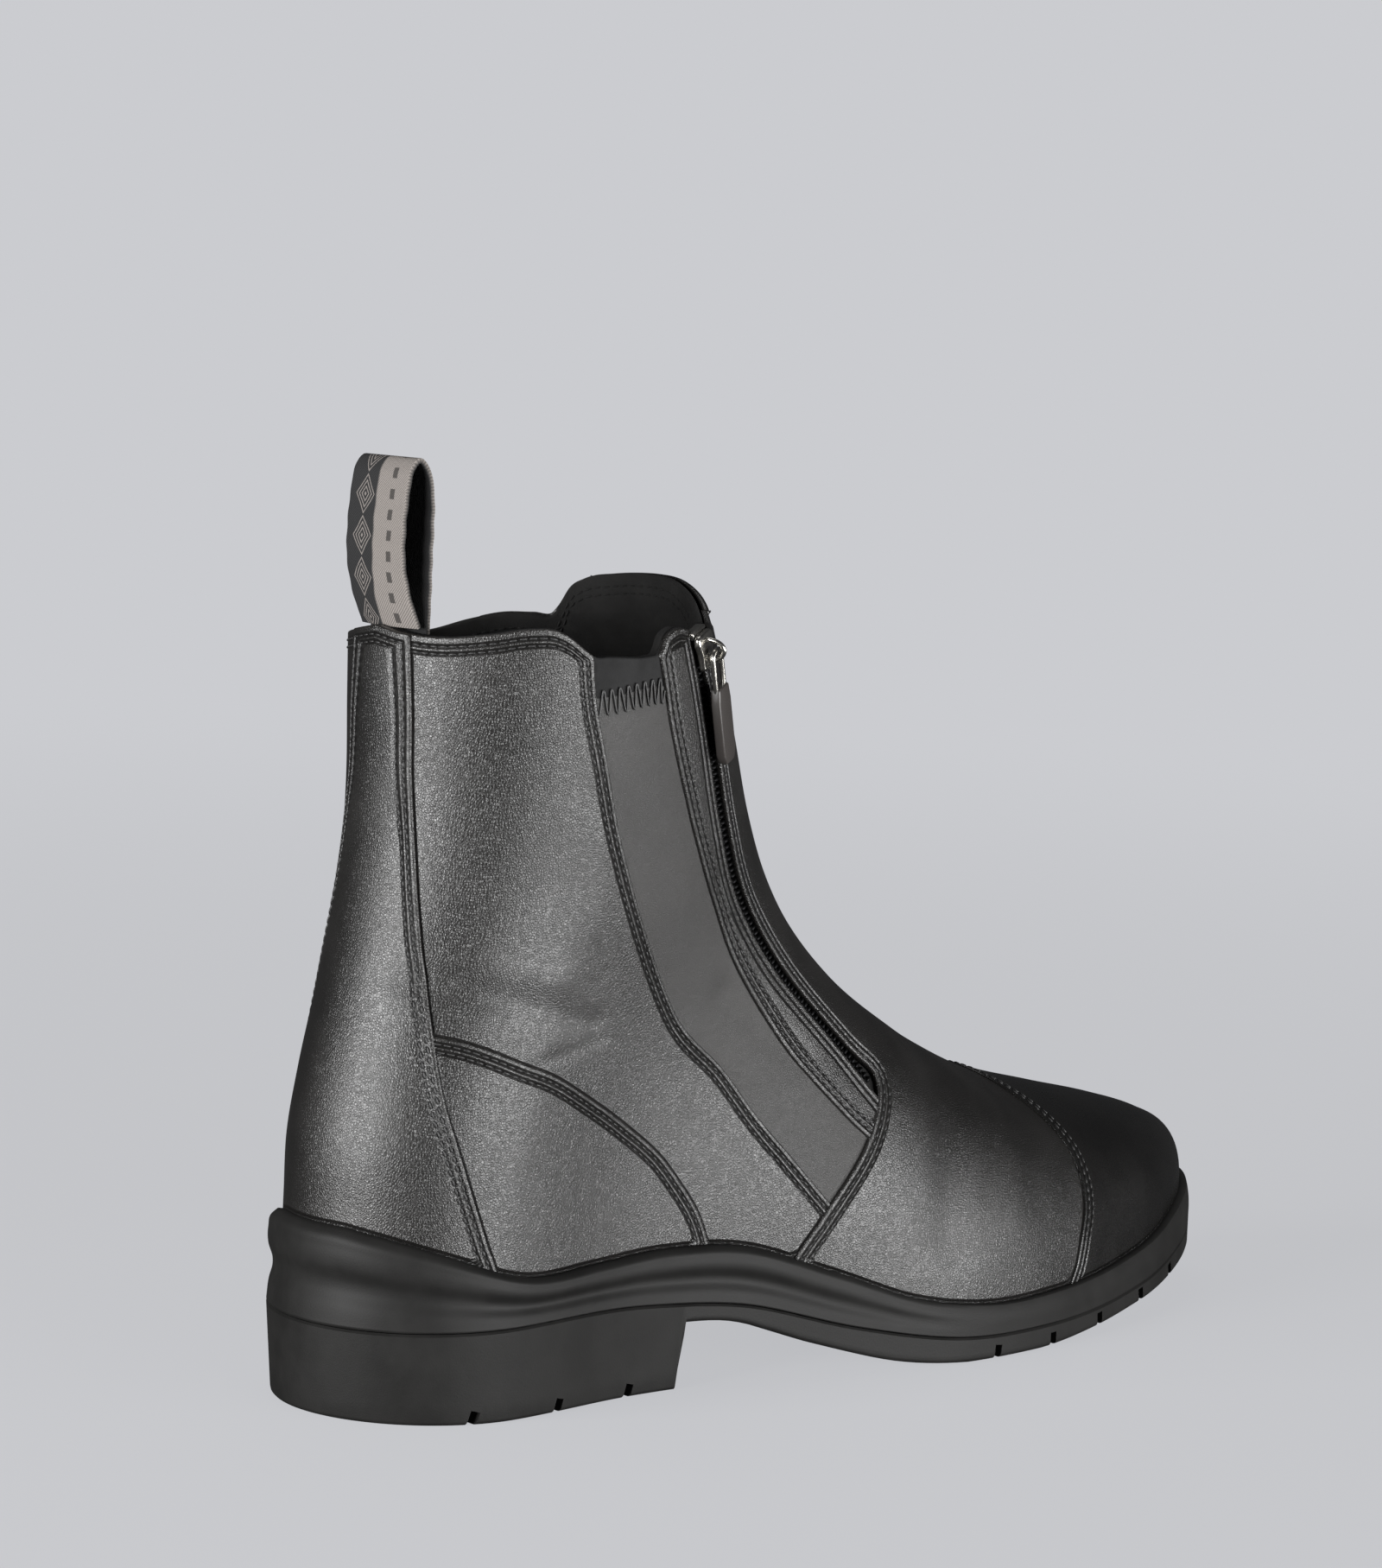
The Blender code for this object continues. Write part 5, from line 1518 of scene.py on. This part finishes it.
class BOOT_OT_panels(bpy.types.Operator):
    """Make the leather panels, each over the edge of the one below it"""
    bl_idname = "boot.make_panels"
    bl_label = "Make leather panels"

    def execute(self, context):
        last = last_grid()
        outer = np.where(last.lateral, 1.0, -1.0)
        above = last.rim + RIM_SINK
        under_strap = UNDERLAP - last.strap
        under_vamp = np.where(last.lateral, UNDERLAP - last.vamp, UNDERLAP - last.vamp_inner)
        under_counter = UNDERLAP - last.counter
        gore = np.minimum.reduce((UNDERLAP - last.quarter, UNDERLAP - last.band, under_vamp, outer, above))
        elastic = elastic_field(last)
        self.sheet("gore_leather", np.minimum(gore, elastic + ELASTIC_LAP), GORE_FACE, STRETCH_LEATHER,
                   "stretch", "gore", "stretch_leather")
        self.sheet("gore_elastic", np.minimum(gore, -elastic), GORE_FACE - ELASTIC_SINK, ELASTIC,
                   "elastic", None, "stretch_leather")
        quarter = np.where(last.lateral, last.quarter, under_vamp)
        quarter = np.minimum.reduce((quarter, under_vamp, under_strap, under_counter, above))
        self.sheet("quarter_outer", np.minimum(quarter, outer), QUARTER_FACE, LEATHER, "leather",
                   "quarter_lateral", "black_leather")
        self.sheet("quarter_inner", np.minimum(quarter, -outer), QUARTER_FACE, LEATHER, "leather",
                   "quarter_medial", "black_leather")
        band = np.minimum.reduce((last.band, last.zip_near, under_vamp, outer, above))
        self.sheet("zip_band_leather", band, BAND_FACE, BAND_LEATHER, "leather", "zip_band",
                   "black_leather")
        counter = np.minimum.reduce((last.counter, under_strap, above))
        self.sheet("counter_outer", np.minimum(counter, outer), COUNTER_FACE, LEATHER, "leather",
                   "counter_lateral", "black_leather")
        self.sheet("counter_inner", np.minimum(counter, -outer), COUNTER_FACE, LEATHER, "leather",
                   "counter_medial", "black_leather")
        vamp = np.where(last.lateral, last.vamp, last.vamp_inner)
        vamp = np.minimum.reduce((vamp, UNDERLAP - last.cap, above))
        self.sheet("vamp_leather", vamp, VAMP_FACE, VAMP_LEATHER, "leather", "vamp", "black_leather")
        strap = np.minimum(last.strap, above)
        self.sheet("back_strap_leather", strap, STRAP_FACE, CAP_LEATHER, "strap", "back_strap",
                   "black_leather")
        cap = np.minimum(last.cap, above)
        self.sheet("toe_cap_leather", cap, CAP_FACE, CAP_LEATHER, "cap", "toe_cap", "cap_leather")
        return {"FINISHED"}

    def sheet(self, name, field, face, thickness, finish, node, slot):
        item = sheet_piece(name, last_grid(), field, face, thickness, finish_named(finish))
        return take_place(item, node)


def elastic_field(last):
    """Distance under the elastic's lower edge, which rises a little towards the zip's band."""
    level = ELASTIC_LOW + (ELASTIC_HIGH - ELASTIC_LOW) * blend(last.turn, ELASTIC_TURNS)
    return COLLAR_HEIGHT - level - last.z


class BOOT_OT_stitches(bpy.types.Operator):
    """Sew the rows of stitches along the seams, the collar and the gore's elastic"""
    bl_idname = "boot.make_stitches"
    bl_label = "Make stitches"

    def execute(self, context):
        last = last_grid()
        own = settings()
        lateral = last.lateral
        shown = last.rim > SEAM_CLEAR
        front = np.where(lateral, last.vamp, last.vamp_inner)
        clear_top = last.top > SECOND_ROW
        runs = []
        for depth in (FIRST_ROW, SECOND_ROW):
            quarter = shown & lateral & (last.vamp < -SEAM_CLEAR) & (last.counter < 0) & (last.top > depth)
            runs += self.rows(last.quarter, depth, quarter, QUARTER_FACE)
            counter = shown & (last.strap < -SEAM_TOUCH) & (front < -SEAM_CLEAR)
            runs += self.rows(last.counter, depth, counter, COUNTER_FACE)
            runs += self.rows(last.strap, depth, shown & clear_top, STRAP_FACE)
            vamp = shown & (last.cap < -SEAM_CLEAR) & lateral & (last.way < VAMP_ROW_END)
            runs += self.rows(last.vamp, depth, vamp, VAMP_FACE)
            inner = shown & (last.cap < -SEAM_CLEAR) & ~lateral & clear_top & (last.turn > INNER_ROW_START)
            runs += self.rows(last.vamp_inner, depth, inner, VAMP_FACE)
            runs += self.rows(last.cap, depth, shown, CAP_FACE)
            collar = np.where(lateral, last.quarter > depth, last.vamp_inner < -SEAM_TOUCH)
            collar &= last.strap < -SEAM_TOUCH
            runs += self.rows(last.top, depth, collar, QUARTER_FACE)
            runs += self.rows(last.top, depth, last.strap > depth, STRAP_FACE)
        band = shown & lateral & (last.vamp < -SEAM_CLEAR) & (last.top > BAND_ROW_TOP)
        for depth in BAND_ROWS:
            runs += self.rows(last.band, depth, band & (last.zip_near > SEAM_CLEAR), BAND_FACE)
        runs += self.rows(last.zip_near, NEAR_ROW, band & (last.band > SEAM_CLEAR), BAND_FACE)
        far = lateral & (last.way > FAR_ROW_START) & (last.top > FIRST_ROW)
        runs += self.rows(last.zip_far, FAR_ROW, far, VAMP_FACE)
        item = along_path("seam_stitches", runs, finish_named("thread"), own.stitch_pitch,
                          own.stitch_length, own.thread, own.thread)
        take_place(item, None)
        self.zigzag(last, own)
        self.inner_rows(last, own)
        return {"FINISHED"}

    def rows(self, field, depth, where, face):
        lines = contour(last_grid(), field, depth, where)
        return [(points + normals * face, normals) for points, normals in lines]

    def zigzag(self, last, own):
        """The wide stitch that holds the gore's elastic."""
        where = last.lateral & (last.quarter < 0) & (last.band < 0)
        middle = self.rows(elastic_field(last), ZIGZAG_LIFT, where, GORE_FACE + ZIGZAG_LIFT)
        runs = [swung(points, normals, ZIGZAG_SWING, ZIGZAG_PITCH) for points, normals in middle]
        item = thread_path("elastic_zigzag", runs, finish_named("thread"), own.thread * 0.8)
        take_place(item, None)

    def inner_rows(self, last, own):
        """Two rows inside the raised front and one inside the rest of the collar."""
        inside = LINING_FACE - LINING_WALL
        raised = (last.turn > RAISED[0]) & (last.turn < RAISED[1])
        runs = []
        for depth in RAISED_ROWS:
            runs += self.rows(last.top, depth, raised, inside)
        runs += self.rows(last.top, COLLAR_ROW, ~raised & (last.slot > SLOT_CLEAR), inside)
        item = along_path("collar_stitches", runs, finish_named("suede"), own.stitch_pitch,
                          own.stitch_length, own.thread, own.thread)
        take_place(item, None)


def swung(points, normals, swing, pitch):
    """A line that swings to and fro across another one."""
    run = np.gradient(points, axis=0)
    run /= np.linalg.norm(run, axis=1, keepdims=True)
    aside = np.cross(normals, run)
    way = np.concatenate(([0.0], np.cumsum(np.linalg.norm(np.diff(points, axis=0), axis=1))))
    at = np.arange(0.0, way[-1], pitch / 16)
    phase = at / pitch * 2 * math.pi
    middle, aside, normals = (
        np.stack([np.interp(at, way, value[:, k]) for k in range(3)], -1)
        for value in (points, aside, normals)
    )
    return middle + aside * (np.sin(phase) * swing)[:, None], normals


class BOOT_OT_zip(bpy.types.Operator):
    """Make the zip: its tape and its teeth"""
    bl_idname = "boot.make_zip"
    bl_label = "Make zip"

    def execute(self, context):
        ways = np.linspace(ZIP_LOWER_END, ZIP_UPPER_END, 160)
        tape = self.tape(ways)
        take_place(tape, "zip_chain")
        own = settings()
        runs = []
        for side in (-1, 1):
            turn = sideways(ways, zip_line(ways), side * SLOT_SEEN * TOOTH_PLACE)
            normals = normals_at(ways, turn)
            line = surface(ways, turn) - normals * TOOTH_SINK
            runs.append((line[side > 0:], normals[side > 0:]))
        item = along_path("zip_teeth", runs, finish_named("teeth"), own.tooth_pitch,
                          own.tooth_pitch * TOOTH_LENGTH, SLOT_SEEN * TOOTH_WIDTH, TOOTH_HEIGHT, 8, 5)
        take_place(item, None)
        return {"FINISHED"}

    def tape(self, ways):
        half = TAPE_WIDTH / 2
        right = [(half, 0.0), (half / 2, 0.0), *TAPE_RIDGE]
        section = [(-place, lift) for place, lift in right] + right[-2::-1]
        middle = zip_line(ways)
        face, back = [], []
        for side, lift in section:
            turn = sideways(ways, middle, side)
            normal = normals_at(ways, turn)
            point = surface(ways, turn)
            face.append(point + normal * (TAPE_FACE + lift))
            back.append(point - normal * (TAPE_BACK + TAPE_THICKNESS * (abs(side) < RIDGE_REACH)))
        rings = np.stack(face + back[::-1], axis=1)
        count = len(section) * 2
        faces = []
        for row in range(len(ways) - 1):
            for k in range(count):
                n = (k + 1) % count
                first = row * count
                faces.append([first + k, first + n, first + count + n, first + count + k])
        faces.append(list(reversed(range(count))))
        faces.append([(len(ways) - 1) * count + k for k in range(count)])
        item = new_mesh("zip_tape", rings.reshape(-1, 3), faces, finish_named("tape"))
        outward_faces(item)
        return item


class BOOT_OT_slider(bpy.types.Operator):
    """Make the slider with its bail, and the pull tab with its link"""
    bl_idname = "boot.make_slider"
    bl_label = "Make slider and pull tab"

    def execute(self, context):
        metal = finish_named("metal")
        placed = slider_frame()
        low = VAMP_FACE + SLIDER_CLEARANCE
        top = low + SLIDER_THICKNESS
        half, far = BAIL_LENGTH / 2, SLIDER_LENGTH / 2 + CROWN_REACH
        neck = box_outline(NECK_WIDTH / 2, -NECK_LENGTH / 2, NECK_LENGTH / 2)
        crown = box_outline(SLIDER_WIDTH / 2 * CROWN_WIDTH, far - CROWN_LENGTH, far)
        arch = [
            (0, -half * math.cos(a), top - BAIL_SINK + BAIL_HEIGHT * math.sin(a))
            for a in np.linspace(0, math.pi, 25)
        ]
        pieces = [
            outline_block("plate", self.plate(), low, top, placed, PLATE_ROUND, metal),
            outline_block("neck", neck, -NECK_DEPTH, low + NECK_LAP, placed, NECK_ROUND, metal),
            wire("bail", arch, BAIL_WIRE / 2, placed, False, metal),
            outline_block("crown", crown, -NECK_DEPTH, low + CROWN_LAP, placed, NECK_ROUND, metal),
        ]
        take_place(join("slider_body", pieces), "zip_slider")
        rest = placed @ Matrix.Translation((0, 0, top + BAR_HEIGHT))
        rest = rest @ Matrix.Rotation(math.radians(TAB_REST), 4, "X")
        self.tab(rest, metal)
        return {"FINISHED"}

    def plate(self):
        """Outline of the slider's top plate: wide shoulders above, a waist, a narrower foot."""
        right = [(x * SLIDER_WIDTH / 2, y * SLIDER_LENGTH / 2) for x, y in PLATE]
        left = [(-x, y) for x, y in reversed(right)]
        return right + left

    def tab(self, rest, metal):
        half = LINK_WIDTH / 2
        corner = half * LINK_CORNER
        loop = []
        centres = ((half - corner, -corner, 0), (corner - half, -corner, 90),
                   (corner - half, corner - LINK_LENGTH, 180), (half - corner, corner - LINK_LENGTH, 270))
        for centre_x, centre_y, start in centres:
            for a in np.radians(np.linspace(start, start + 90, 9)):
                loop.append((centre_x + corner * math.cos(a), centre_y + corner * math.sin(a), 0))
        link = wire("tab_link", loop, LINK_WIRE / 2, rest, True, metal)
        take_place(link, "pull_tab", "pull_tab")
        start = LINK_IN_TAB - LINK_LENGTH
        end = start - TAB_LENGTH
        wide = TAB_WIDTH / 2
        left = [(-wide * TAB_SHOULDER, start), (-wide, start - TAB_TAPER[0]), (-wide, end + TAB_TAPER[1]),
                (-wide * TAB_FOOT, end)]
        outline = left + [(-x, y) for x, y in reversed(left)]
        grip = outline_block("tab_grip", outline, -TAB_THICKNESS / 2, TAB_THICKNESS / 2, rest, TAB_ROUND,
                             finish_named("tab"))
        take_place(grip, None, "pull_tab")


class BOOT_OT_pull_loop(bpy.types.Operator):
    """Make the webbing loop at the back of the collar"""
    bl_idname = "boot.make_pull_loop"
    bl_label = "Make pull loop"

    def execute(self, context):
        rows = LOOP + ((LOOP[-1][0], -LOOP_TAIL / LOOP_HEIGHT),)
        way = [0.0]
        for (a, b), (c, d) in zip(rows, rows[1:]):
            way.append(way[-1] + math.hypot((c - a) * LOOP_GAP, (d - b) * LOOP_HEIGHT))
        table = [(w, a, b) for w, (a, b) in zip(way, rows)]
        at = np.linspace(0.0, way[-1], 150)
        inward = column(table, at, 1) * LOOP_GAP
        height = column(table, at, 2) * LOOP_HEIGHT
        seat = back_line(COLLAR_HEIGHT)
        radius = (COLLAR_WIDTH / 2) ** 2 / (column(LEG, 1.0, 2) * COLLAR_LENGTH)
        across = np.linspace(0.0, 1.0, 25)
        side = (across - 0.5)[:, None] * LOOP_WIDTH
        curl = side ** 2 / (2 * radius) * (1 - ease(height / (LOOP_HEIGHT * 0.5)))
        sway = sum(np.sin(at / wave + phase) * swing for wave, phase, swing in LOOP_SWAY)
        sway *= ease(height / LOOP_SWAY_START)
        base = COLLAR_HEIGHT + float(top_height(1.0))
        sheet = np.stack(np.broadcast_arrays(seat + inward + curl, side + sway, base + height), -1)
        item = self.strip(sheet, across, at)
        take_place(item, "pull_loop")
        return {"FINISHED"}

    def strip(self, sheet, across, at):
        count = sheet.shape[1]
        faces = [
            [r * count + c, r * count + c + 1, (r + 1) * count + c + 1, (r + 1) * count + c]
            for r in range(sheet.shape[0] - 1) for c in range(count - 1)
        ]
        share, run = np.meshgrid(across, at, indexing="ij")
        item = new_mesh("loop_webbing", sheet.reshape(-1, 3), faces, finish_named("webbing"),
                        {"across": share.ravel(), "run": run.ravel()})
        body = item.modifiers.new("webbing", "SOLIDIFY")
        body.thickness = WEBBING
        body.offset = 0
        rounded = item.modifiers.new("edge", "BEVEL")
        rounded.width = WEBBING * WEBBING_ROUND
        rounded.segments = 2
        rounded.limit_method = "ANGLE"
        applied(item)
        outward_faces(item)
        self.mark_inner(item, sheet)
        item.data.shade_smooth()
        return item

    def mark_inner(self, item, sheet):
        """A field that is 1 on the face that looks into the loop."""
        normals = np.cross(np.gradient(sheet, axis=0), np.gradient(sheet, axis=1)).reshape(-1, 3)
        places = sheet.reshape(-1, 3)
        tree = KDTree(len(places))
        for number, place in enumerate(places):
            tree.insert(place, number)
        tree.balance()
        inner = []
        for vertex in item.data.vertices:
            near, number, _ = tree.find(vertex.co)
            inner.append(float((vertex.co - near).dot(Vector(normals[number])) > 0))
        item.data.attributes.new("inner", "FLOAT", "POINT").data.foreach_set("value", inner)


class BOOT_OT_stage(bpy.types.Operator):
    """Set up the pale floor, the soft studio lights and the camera"""
    bl_idname = "boot.make_stage"
    bl_label = "Make stage"

    def execute(self, context):
        scene = context.scene
        scene.view_settings.view_transform = "Standard"
        self.floor()
        self.world(scene)
        for name, place, size, power in SOFTBOXES:
            self.light(name, place, size, power)
        self.camera(scene)
        return {"FINISHED"}

    def floor(self):
        """A floor that glows as the backdrop does, and takes a faint shadow near the boot."""
        graph = Graph("pale_floor", (0.0, 0.0, 0.0), 0.9)
        graph.constant("Specular IOR Level", 0.0)
        graph.constant("Emission Strength", 1.0)
        distance = graph.node("ShaderNodeVectorMath", {"operation": "LENGTH"}, {0: graph.place})
        far = distance.value("Value").step(*FLOOR_BLEND)
        glow = graph.mix(far, tinted(BACKDROP, FLOOR_GLOW), BACKDROP)
        graph.feed(graph.shader.inputs["Base Color"], graph.mix(far, FLOOR_NEAR, (0.0, 0.0, 0.0)))
        graph.feed(graph.shader.inputs["Emission Color"], glow)
        points = [(x, y, 0.0) for x, y in box_outline(FLOOR_REACH, -FLOOR_REACH, FLOOR_REACH)]
        item = new_mesh("pale_floor", points, [[0, 1, 2, 3]], graph.material)
        item.visible_diffuse = item.visible_glossy = item.visible_shadow = False

    def world(self, scene):
        """The backdrop for the camera, and a much darker room for the boot."""
        world = bpy.data.worlds.new("studio")
        world.use_nodes = True
        nodes, links = world.node_tree.nodes, world.node_tree.links
        room = nodes["Background"]
        room.inputs["Color"].default_value = (*BACKDROP, 1.0)
        room.inputs["Strength"].default_value = ROOM_LIGHT
        backdrop = nodes.new("ShaderNodeBackground")
        backdrop.inputs["Color"].default_value = (*BACKDROP, 1.0)
        mix = nodes.new("ShaderNodeMixShader")
        path = nodes.new("ShaderNodeLightPath")
        links.new(path.outputs["Is Camera Ray"], mix.inputs["Fac"])
        links.new(room.outputs[0], mix.inputs[1])
        links.new(backdrop.outputs[0], mix.inputs[2])
        links.new(mix.outputs[0], nodes["World Output"].inputs["Surface"])
        scene.world = world

    def light(self, name, place, size, power):
        data = bpy.data.lights.new(name, "AREA")
        data.shape = "RECTANGLE"
        data.size, data.size_y = size
        data.energy = power
        lamp = bpy.data.objects.new(name, data)
        lamp.location = place
        lamp.rotation_euler = (Vector(LIGHT_TARGET) - Vector(place)).to_track_quat("-Z", "Y").to_euler()
        bpy.context.scene.collection.objects.link(lamp)

    def camera(self, scene):
        yaw, pitch, roll = (math.radians(a) for a in (CAMERA_YAW, CAMERA_PITCH, CAMERA_ROLL))
        level = Vector((-math.sin(yaw), math.cos(yaw), 0.0))
        forward = level * math.cos(pitch) - Vector((0, 0, 1)) * math.sin(pitch)
        right = Vector((math.cos(yaw), math.sin(yaw), 0.0))
        up = right.cross(forward)
        rolled_right = right * math.cos(roll) + up * math.sin(roll)
        rolled_up = up * math.cos(roll) - right * math.sin(roll)
        data = bpy.data.cameras.new("photo_camera")
        data.sensor_fit = "HORIZONTAL"
        data.sensor_width = SENSOR_WIDTH
        data.lens = FOCAL_PIXELS * SENSOR_WIDTH / IMAGE_WIDTH
        camera = bpy.data.objects.new("photo_camera", data)
        placed = Matrix((rolled_right, rolled_up, -forward)).transposed().to_4x4()
        placed.translation = Vector(CAMERA_PLACE)
        camera.matrix_world = placed
        scene.collection.objects.link(camera)
        scene.camera = camera


class BOOT_PT_panel(bpy.types.Panel):
    """Lists the steps that make the boot"""
    bl_idname = "BOOT_PT_panel"
    bl_label = "Paddock boot"
    bl_space_type = "VIEW_3D"
    bl_region_type = "UI"
    bl_category = "Boot"

    def draw(self, context):
        for name in BootSettings.__annotations__:
            self.layout.prop(context.scene.paddock_boot, name)
        for operator in OPERATORS:
            self.layout.operator(operator.bl_idname)


OPERATORS = (
    BOOT_OT_stage, BOOT_OT_sole, BOOT_OT_lining, BOOT_OT_panels, BOOT_OT_stitches, BOOT_OT_zip,
    BOOT_OT_slider, BOOT_OT_pull_loop,
)


def register():
    for part in (BootSettings, *OPERATORS, BOOT_PT_panel):
        bpy.utils.register_class(part)
    bpy.types.Scene.paddock_boot = PointerProperty(type=BootSettings)


def unregister():
    del bpy.types.Scene.paddock_boot
    for part in reversed((BootSettings, *OPERATORS, BOOT_PT_panel)):
        bpy.utils.unregister_class(part)


def main():
    register()
    make_finishes()
    for operator in OPERATORS:
        group, name = operator.bl_idname.split(".")
        getattr(getattr(bpy.ops, group), name)()


if __name__ == "__main__":
    main()
